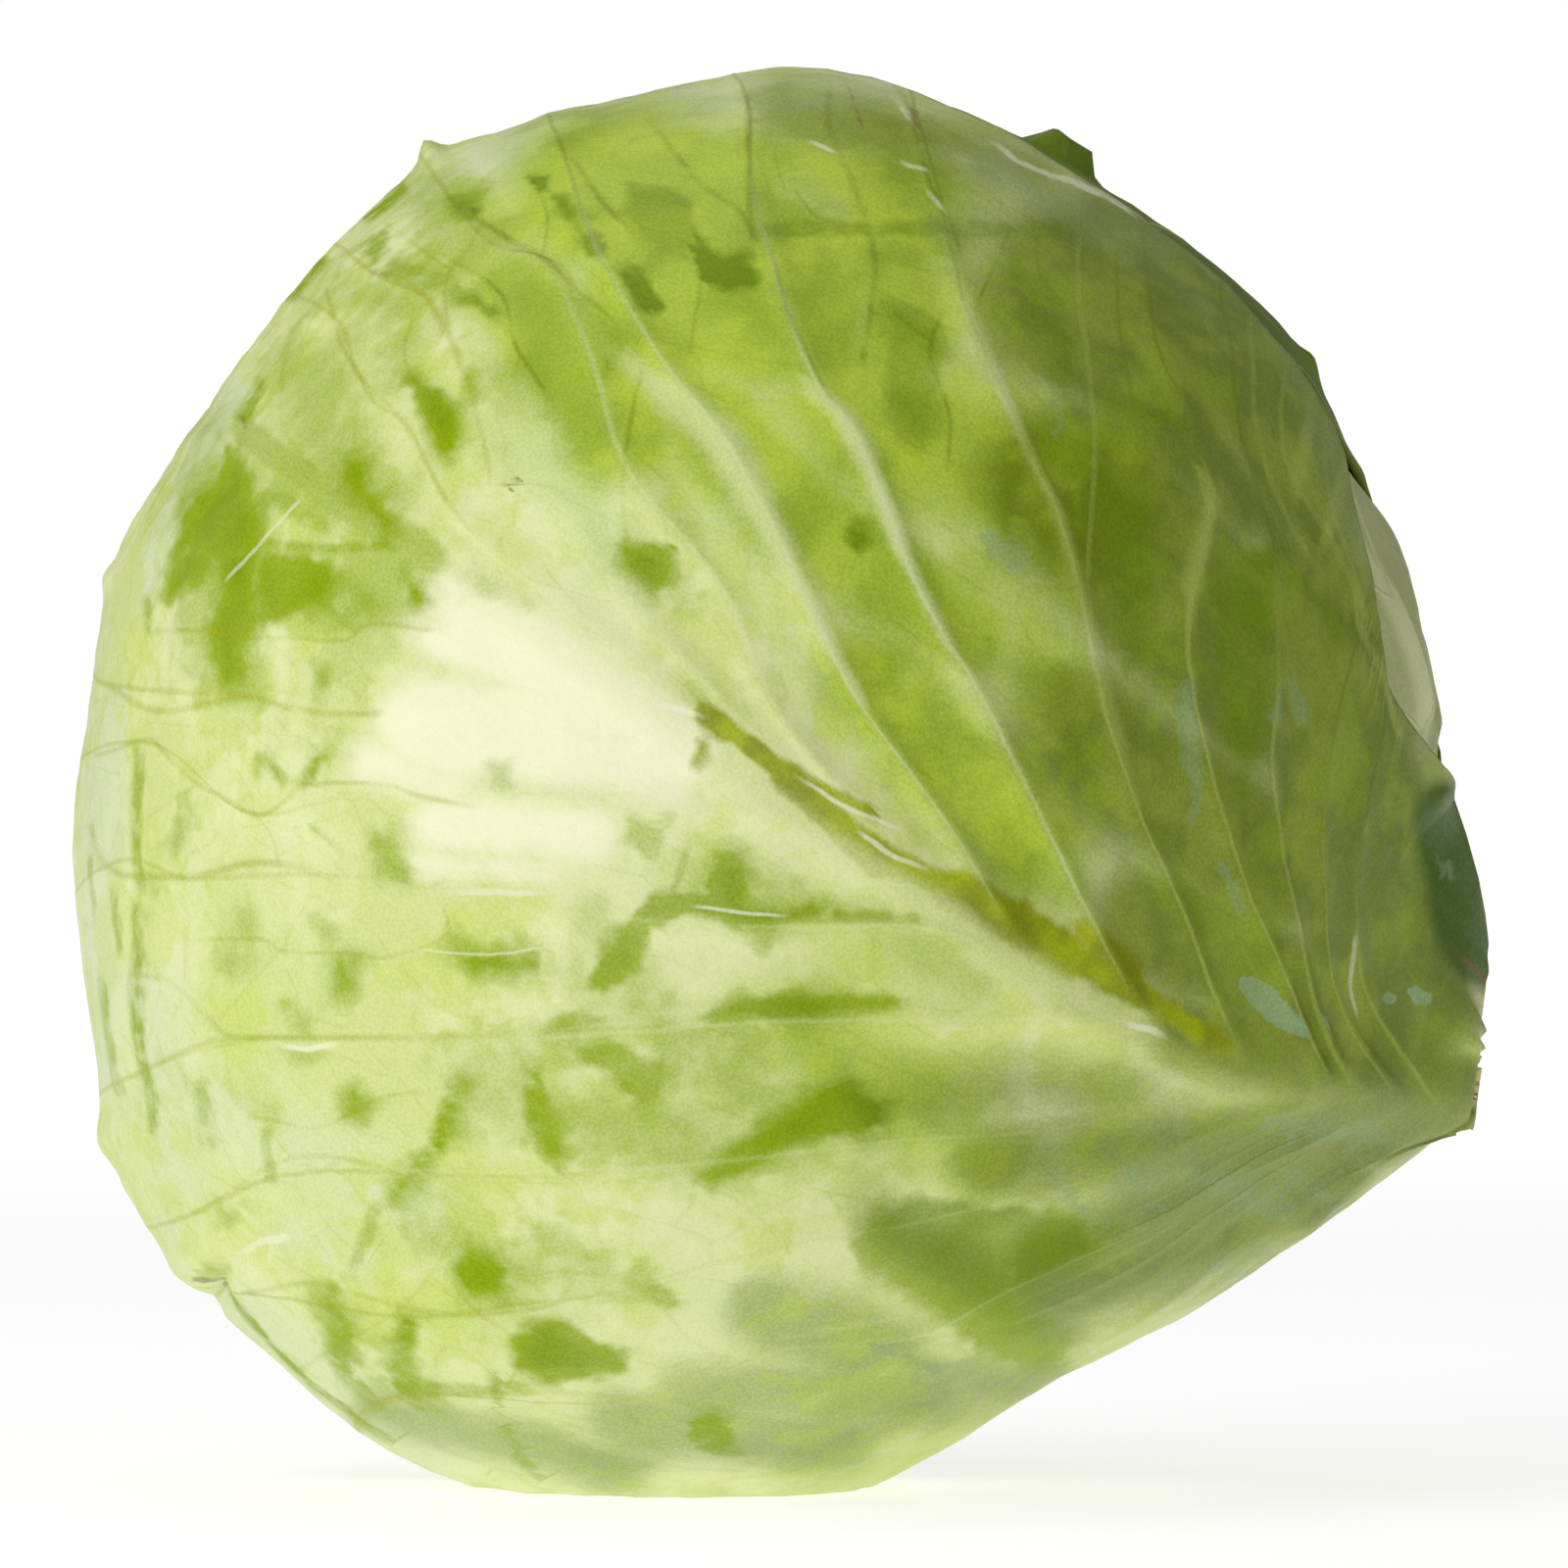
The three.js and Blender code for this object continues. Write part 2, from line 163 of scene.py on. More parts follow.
# Direction from the head's centre to the surface that a photo pixel shows
def fromPixel(pixel):
    half = view["imageSize"] / 2
    x = (pixel[0] - half) * view["mmPerPixel"] + view["middleX"] - headCentre[0]
    z = (half - pixel[1]) * view["mmPerPixel"] + view["middleZ"] - headCentre[2]
    d = np.array([x, -1.0, z])
    y = 0.0
    for _ in range(8):
        scale = (view["distance"] + y) / view["distance"]
        across = math.hypot(x * scale, z * scale)
        radius = max(float(freeRadius(d[None] / np.linalg.norm(d))[0]), across * 1.001)
        y = -math.sqrt(radius ** 2 - across ** 2)
        d = np.array([x * scale, y, z * scale])
    return d / np.linalg.norm(d)


# How each leaf's edge wanders, in degrees, where the photo doesn't show it
edgeWander = {"height": 0.8, "waves": 9, "fineWaves": 23, "fineShare": 0.7}


def prepareLeaf(leaf):
    leaf["middle"] = headDirection(leaf["fromStem"], leaf["around"])
    along = -stemAxis + leaf["middle"] * (stemAxis @ leaf["middle"])
    leaf["along"] = along / np.linalg.norm(along)
    leaf["across"] = np.cross(leaf["along"], leaf["middle"])
    return leaf


def toFlat(leaf, d):
    spread = angleFrom(d, leaf["middle"])
    x, y = d @ leaf["along"], d @ leaf["across"]
    reach = np.maximum(np.hypot(x, y), 1e-9)
    return np.stack([spread * x / reach, spread * y / reach], -1)


def fromFlat(leaf, flat):
    spread = np.hypot(flat[:, 0], flat[:, 1])
    sine = np.sin(np.radians(spread)) / np.maximum(spread, 1e-6)
    d = (np.cos(np.radians(spread))[:, None] * leaf["middle"]
         + (sine * flat[:, 0])[:, None] * leaf["along"]
         + (sine * flat[:, 1])[:, None] * leaf["across"])
    return d / np.linalg.norm(d, axis=1)[:, None]


# The edge's distance from the leaf's middle in degrees; away from the foot, and from what the
# photo shows, it also wanders a little
def edgeReach(leaf, angles):
    wander = (np.sin(np.radians(angles * edgeWander["waves"] + leaf["around"]))
              + edgeWander["fineShare"] * np.sin(np.radians(angles * edgeWander["fineWaves"] + 40)))
    inside = smoothStep(160 - np.abs(angles), 0, 12)
    if leaf["around"] == 0:
        inside = inside * (1 - smoothStep(angles, 22, 34))
    return loopValue(leaf["reach"], angles) + edgeWander["height"] * wander * inside


# How many degrees a direction lies outside a leaf's edge, negative inside
def pastEdge(leaf, d):
    flat = toFlat(leaf, d)
    spread = np.hypot(flat[:, 0], flat[:, 1])
    angle = np.degrees(np.arctan2(flat[:, 1], flat[:, 0]))
    slope = np.degrees(edgeReach(leaf, angle + 1) - edgeReach(leaf, angle - 1)) / 2
    lean = slope / np.maximum(spread, 20)
    return (spread - edgeReach(leaf, angle)) / np.sqrt(1 + lean ** 2)


def layering(above, d):
    depth = np.zeros(len(d))
    bare = np.ones(len(d))
    for leaf in above:
        covered = 1 - smoothStep(pastEdge(leaf, d), layers["guard"], layers["fade"])
        depth += layers["pitch"] * covered
        bare *= 1 - covered
    return depth, bare


# A smooth open curve through points, read at shares of its length
def curveAt(points, shares):
    p = np.asarray(points, float)
    p = np.concatenate([[2 * p[0] - p[1]], p, [2 * p[-1] - p[-2]]])
    fine = []
    for i in range(1, len(p) - 2):
        for t in np.linspace(0, 1, 13)[:-1]:
            fine.append(0.5 * (2 * p[i] + (p[i + 1] - p[i - 1]) * t
                               + (2 * p[i - 1] - 5 * p[i] + 4 * p[i + 1] - p[i + 2]) * t * t
                               + (3 * p[i] - p[i - 1] - 3 * p[i + 1] + p[i + 2]) * t ** 3))
    fine.append(p[-2])
    fine = np.array(fine)
    step = np.maximum(np.linalg.norm(np.diff(fine, axis=0), axis=1), 1e-9)
    run = np.concatenate([[0], np.cumsum(step)])
    run /= run[-1]
    return np.stack([np.interp(shares, run, fine[:, k]) for k in range(p.shape[1])], -1)


def edgeAt(leaf, angle):
    distance = edgeReach(leaf, np.atleast_1d(float(angle)))[0]
    return np.array([math.cos(math.radians(angle)), math.sin(math.radians(angle))]) * distance


def fractal(points, scale, octaves, seed):
    offset = Vector((seed * 13.7, seed * 7.1, seed * 3.3))
    return np.array([noise.fractal(Vector(p) * scale + offset, 1.0, 2.0, octaves,
                                   noise_basis="PERLIN_ORIGINAL") for p in points])


# Distance in pixels from strokes (x, y, x, y, half width, strength), as a soft field: 1 on
# the stroke's line, 0 at its half width and falling on outside
def strokeField(pixels, strokes):
    field = np.full(len(pixels), -3.0)
    for x0, y0, x1, y1, width, strength in strokes:
        start = np.array([x0, y0], float)
        way = np.array([x1 - x0, y1 - y0], float)
        t = np.clip((pixels - start) @ way / max(way @ way, 1e-9), 0, 1)
        gap = np.linalg.norm(pixels - start - t[:, None] * way, axis=1)
        field = np.maximum(field, strength * (1 - gap / width))
    return field


def pathField(pixels, path, width, strength=1.0):
    strokes = [(*a, *b, width, strength) for a, b in zip(path, path[1:])]
    return strokeField(pixels, strokes)


outlineLimit = 30               # pixels


# Pixels inside closed outlines (negative outside) and the strength of the nearest outline
def outlineField(pixels, outlines, limit=outlineLimit):
    field = np.full(len(pixels), -float(limit))
    power = np.zeros(len(pixels))
    for strength, points in outlines:
        ring = np.array(points, float)
        close = np.all((pixels > ring.min(0) - limit) & (pixels < ring.max(0) + limit), axis=1)
        place = pixels[close]
        nearest = np.full(len(place), 1e6)
        inside = np.zeros(len(place), bool)
        for start, end in zip(ring, np.roll(ring, -1, axis=0)):
            way, off = end - start, place - start
            t = np.clip(off @ way / (way @ way), 0, 1)
            nearest = np.minimum(nearest, np.linalg.norm(off - t[:, None] * way, axis=1))
            crosses = (start[1] > place[:, 1]) != (end[1] > place[:, 1])
            span = way[1] if way[1] else 1e-9
            inside ^= crosses & (place[:, 0] < start[0] + way[0] * (place[:, 1] - start[1]) / span)
        depth = np.clip(np.where(inside, nearest, -nearest), -limit, limit)
        before = field[close]
        field[close] = np.maximum(before, depth)
        power[close] = np.where(depth > before, strength, power[close])
    return field, power


# Each leaf has flat coordinates, in degrees, from its middle: X to the tip, Y across. reach is
# its edge, by degrees from the tip's way towards +Y; curls are (angle, half width, height in
# mm) along the edge, bumps (x, y, half width, height in mm) in flat coordinates.
frontLeaf = prepareLeaf({
    "name": "leaf_front", "slot": "front_leaf", "fromStem": 90, "around": 0,
    "reach": [(-170, 94), (-155, 97), (-130, 103), (-110, 108), (-90, 105), (-70, 101), (-50, 99),
              (-20, 96), (0, 96), (20, 97), (40, 98), (60, 97), (75, 89), (92, 75.5), (103, 75.8),
              (114, 77), (122, 80.5), (128, 84), (135, 74.5), (142, 67.5), (150, 67), (155, 70),
              (160, 81), (170, 92), (180, 92.5)],
    "baseAngles": (171, -168), "tipAngle": 11, "footX": -84.6, "footY": -1.5,
    "columns": 270, "rows": 168,
    "midribHeight": 3.6, "midribWidth": 5.5, "midribTip": 4.5, "ribHeight": 0.95, "ribWidth": 2.5,
    "edgeLift": 0.5, "edgeWave": 0.45, "edgeWaves": 11,
    "curls": [(44, 4, 1.5), (-50, 6, 1), (-2, 6, 1), (92, 5, 1.2), (124, 7, 1.7), (131, 6, 2.2),
              (168, 9, 6)],
    "bumps": [], "dent": 0.35, "pucker": 0.1,
})

# The front leaf's midrib and side ribs, by the photo pixels that they pass, foot first, with
# the degrees round the edge where each ends and how tall and how pale it is
frontMidrib = [(1440, 1102), (1330, 1112), (1220, 1075), (1060, 985), (900, 862), (720, 735),
               (560, 625), (400, 545), (262, 458)]
frontRibs = {
    "upper": [
        ([(1475, 1060), (1440, 990), (1426, 932), (1436, 870)], 161, 0.4, 0.4),
        ([(1440, 1060), (1392, 1015), (1384, 932), (1384, 870), (1396, 815)], 151, 0.5, 0.6),
        ([(1420, 1080), (1358, 1008), (1349, 894), (1351, 829), (1358, 760),
          (1376, 680)], 141, 0.6, 0.6),
        ([(1380, 1090), (1339, 1042), (1320, 928), (1300, 801), (1304, 680), (1302, 580),
          (1284, 500), (1262, 420), (1246, 310)], 113, 0.7, 0.7),
        ([(1350, 1090), (1310, 1004), (1262, 887), (1220, 732), (1210, 640), (1234, 515),
          (1214, 432), (1186, 370), (1172, 318), (1168, 262)], 104, 1.0, 1.0),
        ([(1262, 1075), (1205, 930), (1158, 822), (1127, 725), (1105, 625), (1077, 521), (1046, 456),
          (1015, 387), (984, 308), (968, 240), (938, 130)], 83, 1.0, 1.0),
        ([(1160, 1040), (1096, 904), (1053, 818), (998, 705), (943, 615), (902, 508), (871, 439),
          (833, 390), (793, 280), (768, 180), (764, 110)], 68, 1.0, 0.9),
        ([(1040, 965), (985, 870), (939, 801), (871, 708), (826, 612), (774, 508), (733, 439),
          (685, 380), (640, 310), (600, 230), (578, 160)], 53, 0.8, 0.8),
        ([(900, 860), (784, 708), (747, 615), (700, 550), (643, 480), (600, 350), (555, 263),
          (492, 240)], 42, 0.5, 0.5),
        ([(800, 790), (722, 698), (636, 598), (560, 500), (500, 487), (469, 363), (435, 304),
          (380, 277)], 32, 0.35, 0.2),
        ([(700, 730), (600, 640), (479, 539), (414, 432), (366, 380), (343, 325)], 26, 0.3, 0.0),
    ],
    "lower": [
        ([(1460, 1115), (1370, 1200)], -150, 0.4, 0.4),
        ([(1420, 1115), (1250, 1280), (1076, 1400)], -122, 0.6, 0.5),
        ([(1380, 1112), (1150, 1260), (951, 1357), (801, 1375), (637, 1429),
          (394, 1426)], -80, 0.6, 0.5),
        ([(1320, 1110), (1000, 1230), (800, 1270), (609, 1321), (451, 1343),
          (240, 1318)], -65, 0.5, 0.2),
        ([(1270, 1095), (1076, 1150), (836, 1171), (594, 1196), (312, 1195),
          (205, 1235)], -56, 0.55, 0.3),
        ([(1130, 1030), (1004, 1039), (769, 1042), (526, 1059), (259, 1057),
          (155, 1088)], -46, 0.6, 0.4),
        ([(1030, 965), (919, 942), (804, 946), (526, 924), (345, 892), (194, 896),
          (120, 880)], -31, 0.5, 0.3),
        ([(850, 822), (790, 830), (629, 820), (400, 802), (259, 830), (149, 756)], -19, 0.35, 0.1),
        ([(640, 682), (520, 712), (383, 729), (235, 711), (114, 700)], -10, 0.3, 0.0),
    ],
}

# What the other leaves share, unless they say otherwise
plainLeaf = {
    "baseAngles": (174, -174), "sweep": (3, 3), "ribs": 11, "columns": 190, "rows": 132,
    "midribHeight": 3.5, "midribWidth": 4.5, "midribTip": 1.2, "ribHeight": 0.9, "ribWidth": 1.5,
    "edgeLift": 1, "edgeWaves": 11, "curls": [], "bumps": [], "dent": 0.45, "pucker": 0.14,
}
otherLeaves = [prepareLeaf({**plainLeaf, **leaf}) for leaf in [
    {
        "name": "leaf_top", "slot": "dark_leaf", "fromStem": 82, "around": 128,
        "midrib": [(-76.8, 0), (-40, -3), (0, -4), (72, 3)],
        "reach": [(-174, 80), (-164, 54), (-145, 45), (-122, 51), (-90, 56), (-60, 59), (-30, 66),
                  (0, 72), (30, 61), (60, 50), (90, 46), (120, 43), (145, 42), (164, 53),
                  (174, 80), (180, 85)],
        "tipAngle": 2.4, "edgeWave": 0.8,
        "curls": [(70, 9, 2), (20, 8, 1.5), (-34, 9, -1.7), (-138, 7, -2.2)],
        "bumps": [(1.2, -37.4, 1.8, 3.3), (-1.8, -37.2, 1.5, 3.2), (-29.2, -32.6, 2.2, 2.0),
                  (0.2, -38.6, 0.9, 1.2), (2.6, -37.9, 0.8, -0.9), (54.2, -18.4, 1.4, 2.4)],
    },
    {
        "name": "leaf_under", "slot": "side_leaf", "fromStem": 84, "around": 242,
        "midrib": [(-78.8, 0), (-40, 4), (0, 5), (78, -4)],
        "reach": [(-174, 82), (-164, 58), (-145, 47), (-120, 45), (-90, 48), (-60, 54), (-30, 66),
                  (0, 78), (30, 74), (60, 70), (90, 66), (120, 60), (145, 54), (164, 62),
                  (174, 82), (180, 87)],
        "tipAngle": -2.9, "edgeWave": 0.7,
        "curls": [(-80, 9, 2), (-35, 8, 2.5), (-130, 8, 1.5)],
    },
    {
        "name": "leaf_back", "slot": "side_leaf", "fromStem": 88, "around": 186,
        "midrib": [(-82.8, 0), (-40, 2), (0, 1), (80, -3)],
        "reach": [(-174, 86), (-164, 62), (-145, 54), (-120, 58), (-90, 64), (-60, 68), (-30, 74),
                  (0, 80), (30, 74), (60, 67), (90, 62), (120, 56), (145, 53), (164, 62),
                  (174, 86), (180, 91)],
        "tipAngle": -2.1, "midribHeight": 3, "midribWidth": 4, "ribHeight": 0.8, "ribWidth": 1.4,
        "edgeLift": 0.6, "edgeWave": 0.5, "dent": 0.4, "pucker": 0.12,
    },
    {
        "name": "leaf_inner", "slot": "pale_leaf", "fromStem": 78, "around": 62,
        "midrib": [(-72.8, 0), (-40, 2), (0, 2), (66, -2)],
        "reach": [(-174, 76), (-160, 56), (-140, 52), (-110, 54), (-80, 58), (-40, 62), (0, 66),
                  (40, 60), (80, 54), (110, 46), (140, 44), (160, 52), (174, 76), (180, 81)],
        "tipAngle": -1.7, "ribs": 10, "columns": 150, "rows": 100,
        "midribHeight": 2, "midribWidth": 3.5, "ribHeight": 0.5, "ribWidth": 1.4,
        "edgeLift": 0.3, "edgeWave": 0.3, "dent": 0.3, "pucker": 0.05,
    },
]]
allLeaves = [frontLeaf] + otherLeaves
columnCrowding = 1.35           # how much closer the ribs stand near the stem
ribSamples = 72
netCrowding = {"columns": 1.15, "rows": 1.12}   # towards the stem, towards the midrib
mmPerBlister = 12               # the net of small veins along the ribs
relief = {
    "midribFall": 1.6, "midribLeast": 0.25,     # how the midrib's height falls off, and its least
    "pillowShare": 0.35, "pillowWidth": 4.5,    # soft swelling beside each rib
    "dents": 0.9, "puckers": 3.2,               # scales of the uneven surface, per cm
}


# The ribs of one side: feet along the midrib (0 stem, 1 tip), each rib's flat points at even
# shares, and how tall and how pale it is. The first and last lines are the leaf's own ends.
def tracedRibs(leaf, side):
    shares = np.linspace(0, 1, ribSamples)
    midrib = leaf["midribCurve"]
    which = 0 if side > 0 else 1
    base = [midrib[0], edgeAt(leaf, leaf["baseAngles"][which])]
    feet, lines, tall, pale = [0.0], [curveAt(base, shares)], [0.0], [0.0]
    for pixels, edgeAngle, height, paleness in frontRibs["upper" if side > 0 else "lower"]:
        flat = [toFlat(leaf, fromPixel(p)[None])[0] for p in pixels]
        foot = int(np.argmin(np.linalg.norm(midrib - flat[0], axis=1)))
        line = curveAt([midrib[foot]] + flat[1:] + [edgeAt(leaf, edgeAngle)], shares)
        feet.append(foot / (len(midrib) - 1))
        lines.append(line)
        tall.append(height)
        pale.append(paleness)
    feet.append(1.0)
    lines.append(np.repeat(midrib[-1:], ribSamples, axis=0))
    tall.append(0.0)
    pale.append(0.0)
    return np.array(feet), np.array(lines), np.array(tall), np.array(pale)


def ruledRibs(leaf, side):
    which = 0 if side > 0 else 1
    shares = np.linspace(0, 1, ribSamples)
    angles = np.linspace(leaf["baseAngles"][which], leaf["tipAngle"], 41)
    edge = curveAt([edgeAt(leaf, a) for a in angles], np.linspace(0, 1, 400))
    midrib = leaf["midribCurve"]
    places = [0.0] + [((2 * k + 1) / (2 * leaf["ribs"])) ** columnCrowding
                      for k in range(leaf["ribs"])] + [1.0]
    lines = []
    for u in places:
        foot = midrib[int(round(u * (len(midrib) - 1)))]
        share = 1 - 0.85 * (1 - u) ** leaf["sweep"][which] - 0.15 * (1 - u)
        end = edge[int(round(share * (len(edge) - 1)))]
        rise = end[1] - foot[1]
        bend = np.array([(foot[0] + end[0]) / 2 + 0.1 * abs(rise), foot[1] + 0.38 * rise])
        t = shares[:, None]
        lines.append(foot * (1 - t) ** 2 + bend * 2 * t * (1 - t) + end * t * t)
    tall = np.array([0.0] + [1.0] * leaf["ribs"] + [0.0])
    return np.array(places), np.array(lines), tall, tall * 0.8


# Flat place and rib measures for many net places of one side
def netPlaces(leaf, ribs, u, v):
    feet, lines, tall, pale = ribs
    k = np.clip(np.searchsorted(feet, u, side="right") - 1, 0, len(feet) - 2)
    t = (u - feet[k]) / (feet[k + 1] - feet[k])
    at = v * (ribSamples - 1)
    j = np.clip(at.astype(int), 0, ribSamples - 2)
    s = (at - j)[:, None]
    before = lines[k, j] * (1 - s) + lines[k, j + 1] * s
    after = lines[k + 1, j] * (1 - s) + lines[k + 1, j + 1] * s
    flat = before * (1 - t)[:, None] + after * t[:, None]
    midrib = leaf["midribCurve"]
    foot = np.stack([np.interp(u, np.linspace(0, 1, len(midrib)), midrib[:, c]) for c in (0, 1)], 1)
    ownFoot = lines[k, 0] * (1 - t)[:, None] + lines[k + 1, 0] * t[:, None]
    flat += (foot - ownFoot) * ((1 - v) ** 2)[:, None]
    spacing = np.linalg.norm(after - before, axis=1) * mmPerDegree
    toFirst, toSecond = t * spacing, (1 - t) * spacing
    nearTall = np.where(t < 0.5, tall[k], tall[k + 1])
    nearPale = pale[k] * (1 - t) + pale[k + 1] * t
    nearest = np.minimum(toFirst, toSecond)
    side = np.sin(np.pi * (k + t)) * np.minimum(spacing / np.pi, 12)
    length = np.linalg.norm(lines[k, -1] - lines[k, 0], axis=1) * mmPerDegree
    return {"flat": flat, "nearest": nearest, "tall": nearTall, "pale": nearPale, "phase": k + t,
            "side": side, "length": length}


def leafNet(leaf):
    form = bmesh.new()
    bmesh.ops.create_grid(form, x_segments=leaf["columns"], y_segments=leaf["rows"], size=1)
    mesh = bpy.data.meshes.new(leaf["name"] + "_visual")
    form.to_mesh(mesh)
    form.free()
    co = np.zeros(len(mesh.vertices) * 3)
    mesh.vertices.foreach_get("co", co)
    grid = co.reshape(-1, 3)
    u = ((grid[:, 0] + 1) / 2) ** netCrowding["columns"]
    across = grid[:, 1]
    v = np.abs(across) ** netCrowding["rows"]
    leaf["midribCurve"] = curveAt(leaf["midribPoints"], np.linspace(0, 1, 400))
    ribsOf = tracedRibs if "midrib" not in leaf else ruledRibs
    upper = netPlaces(leaf, ribsOf(leaf, 1), u, v)
    lower = netPlaces(leaf, ribsOf(leaf, -1), u, v)
    isUpper = across >= 0
    net = {}
    for key in upper:
        pick = isUpper[:, None] if upper[key].ndim == 2 else isUpper
        net[key] = np.where(pick, upper[key], lower[key])
    net["u"], net["v"], net["sign"] = u, v, np.where(isUpper, 1.0, -1.0)
    return mesh, net


def buildLeaf(leaf, above):
    if "midrib" in leaf:
        leaf["midribPoints"] = leaf["midrib"]
    else:
        traced = [toFlat(leaf, fromPixel(p)[None])[0] for p in frontMidrib]
        leaf["midribPoints"] = ([(leaf["footX"], leaf["footY"])] + traced
                                + [edgeAt(leaf, leaf["tipAngle"])])
    mesh, net = leafNet(leaf)
    u, v = net["u"], net["v"]
    d = fromFlat(leaf, net["flat"])
    depth, bare = layering(above, d)
    free = smoothStep(bare, 0.3, 1)
    edgeAngle = np.degrees(np.arctan2(net["flat"][:, 1], net["flat"][:, 0]))

    nearEdge = smoothStep(v, 0.72, 1) * smoothStep(u, 0.0, 0.03 if leaf is frontLeaf else 0.3)
    lift = leaf["edgeLift"] + leaf["edgeWave"] * np.sin(
        np.radians(edgeAngle * leaf["edgeWaves"] + leaf["around"]))
    for angle, halfWidth, height in leaf["curls"]:
        off = (edgeAngle - angle + 180) % 360 - 180
        lift = lift + height * bell(off, halfWidth)
    rise = nearEdge * lift
    for x, y, halfWidth, height in leaf["bumps"]:
        away = np.hypot(net["flat"][:, 0] - x, net["flat"][:, 1] - y)
        rise = rise + height * np.exp(-(away / halfWidth) ** 4)

    # mm from the midrib, along the ribs near the foot and straight across towards the tip,
    # where the ribs run close beside it
    seam = net["flat"][v < 1e-6]
    seam = seam[np.argsort(u[v < 1e-6])]
    across = np.full(len(v), np.inf)
    for first, last in zip(seam[:-1], seam[1:]):
        way = last - first
        off = net["flat"] - first
        t = np.clip(off @ way / max(way @ way, 1e-12), 0, 1)
        across = np.minimum(across, np.linalg.norm(off - t[:, None] * way, axis=1))
    alongRibs = v * net["length"]
    fromMidrib = alongRibs + (across * 2.0 - alongRibs) * smoothStep(u, 0.2, 0.5)
    midribTall = leaf["midribHeight"] * (1 - u) ** relief["midribFall"] + relief["midribLeast"]
    midribWide = leaf["midribWidth"] * (1 - u) + leaf["midribTip"]
    midrib = midribTall * bell(fromMidrib, midribWide)
    ribWide = leaf["ribWidth"] * (1.35 - 0.8 * v)
    rib = leaf["ribHeight"] * net["tall"] * bell(net["nearest"], ribWide) * (1 - v) ** 0.7
    pillow = relief["pillowShare"] * net["tall"] * (1 - v) * bell(net["nearest"], relief["pillowWidth"])
    start = smoothStep(fromMidrib, 1, 7)
    form = midrib + (rib + pillow) * start * smoothStep(u, 0, 0.04)

    place = onHead(d, freeRadius(d)) * 0.1
    form = form + leaf["dent"] * fractal(place, relief["dents"], 3, leaf["around"] % 17 + 1)
    form = form + leaf["pucker"] * fractal(place, relief["puckers"], 2, leaf["around"] % 13 + 5)
    if leaf is frontLeaf:
        pixels = toPixel(onHead(d, np.minimum(freeRadius(d) + rise * free, heldRadius(d, 0))))
        form = form + frontFolds(pixels, d)
    surface = freeRadius(d) + (rise + form) * free
    clearance = 0 if not above else layers["flatClearance"]
    radius = np.minimum(surface, heldRadius(d, clearance)) - depth
    points = onHead(d, radius)
    mesh.vertices.foreach_set("co", (points * mm).ravel())

    thick = mesh.attributes.new("wall", "FLOAT", "POINT")
    wall = 1 - 0.45 * smoothStep(v, 0.93, 1)
    thick.data.foreach_set("value", wall)
    measures = {
        "ribSide": net["side"], "ribPale": net["pale"], "midribSide": fromMidrib * net["sign"],
        "fineRib": np.sin(net["phase"] * math.pi * 8), "outward": v, "alongLeaf": u,
        "cutFace": (smoothStep(surface - heldRadius(d, clearance), 0.2, 1.2)
                    * smoothStep(d @ stemAxis, 0.985, 0.993)),
    }
    if leaf is frontLeaf:
        measures.update(frontMarks(pixels, d))
    for name, values in measures.items():
        layer = mesh.attributes.new(name, "FLOAT", "POINT")
        layer.data.foreach_set("value", values)
    veinMap = np.stack([net["phase"] + (net["sign"] < 0) * 40, alongRibs / mmPerBlister], 1)
    layer = mesh.attributes.new("veinMap", "FLOAT_VECTOR", "POINT")
    layer.data.foreach_set("vector", np.column_stack([veinMap, np.zeros(len(v))]).ravel())
    return finishLeaf(leaf, mesh, wall)


def faceOutward(form):
    bmesh.ops.recalc_face_normals(form, faces=form.faces)
    form.normal_update()
    middle = Vector(headCentre * mm)
    if sum(f.normal @ (f.calc_center_median() - middle) for f in form.faces) < 0:
        bmesh.ops.reverse_faces(form, faces=form.faces)
    for face in form.faces:
        face.smooth = True


def finishLeaf(leaf, mesh, wall):
    piece = bpy.data.objects.new(leaf["name"] + "_skin", mesh)
    bpy.context.scene.collection.objects.link(piece)
    group = piece.vertex_groups.new(name="wall")
    for level in np.unique(np.round(wall, 2)):
        group.add(np.flatnonzero(np.round(wall, 2) == level).tolist(), float(level), "REPLACE")
    form = bmesh.new()
    form.from_mesh(mesh)
    bmesh.ops.remove_doubles(form, verts=form.verts, dist=0.00002)
    faceOutward(form)
    form.to_mesh(mesh)
    form.free()
    shell = piece.modifiers.new("wall", "SOLIDIFY")
    shell.thickness = layers["thickness"] * mm
    shell.offset = -1
    shell.vertex_group = "wall"
    shell.use_rim = True
    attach(piece, "root")
    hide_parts(leaf["name"])
    return piece


# What shows on the front leaf only is placed by photo pixels
frontRelief = {
    "folds": [   # path, half width in pixels, height in mm
        ([(770, 232), (860, 246), (960, 252), (1060, 256), (1180, 270)], 16, -0.5),
        ([(1180, 262), (1240, 300), (1300, 350), (1345, 410), (1375, 500)], 16, -0.45),
        ([(262, 400), (234, 478), (191, 553), (172, 610), (150, 700), (143, 800), (140, 900),
          (142, 1000), (150, 1100)], 9, -0.35),
        ([(219, 1315), (236, 1294), (262, 1276), (287, 1266)], 9, -0.9),
        ([(240, 1306), (262, 1288), (300, 1276)], 12, 0.7),
        ([(1350, 560), (1368, 606), (1400, 653)], 9, -0.6),
    ],
    "spots": [   # pixel, half width in pixels, height in mm
        (104, 1160, 24, 1.3), (196, 1286, 26, 1.5), (222, 1322, 12, -1.6), (112, 590, 16, 0.8),
        (440, 158, 12, 2.2), (176, 330, 16, 0.8), (1500, 1010, 12, -0.8), (1325, 1240, 16, 1.2),
        (300, 262, 20, 0.6), (870, 60, 14, -0.5), (560, 96, 30, 0.5),
    ],
}


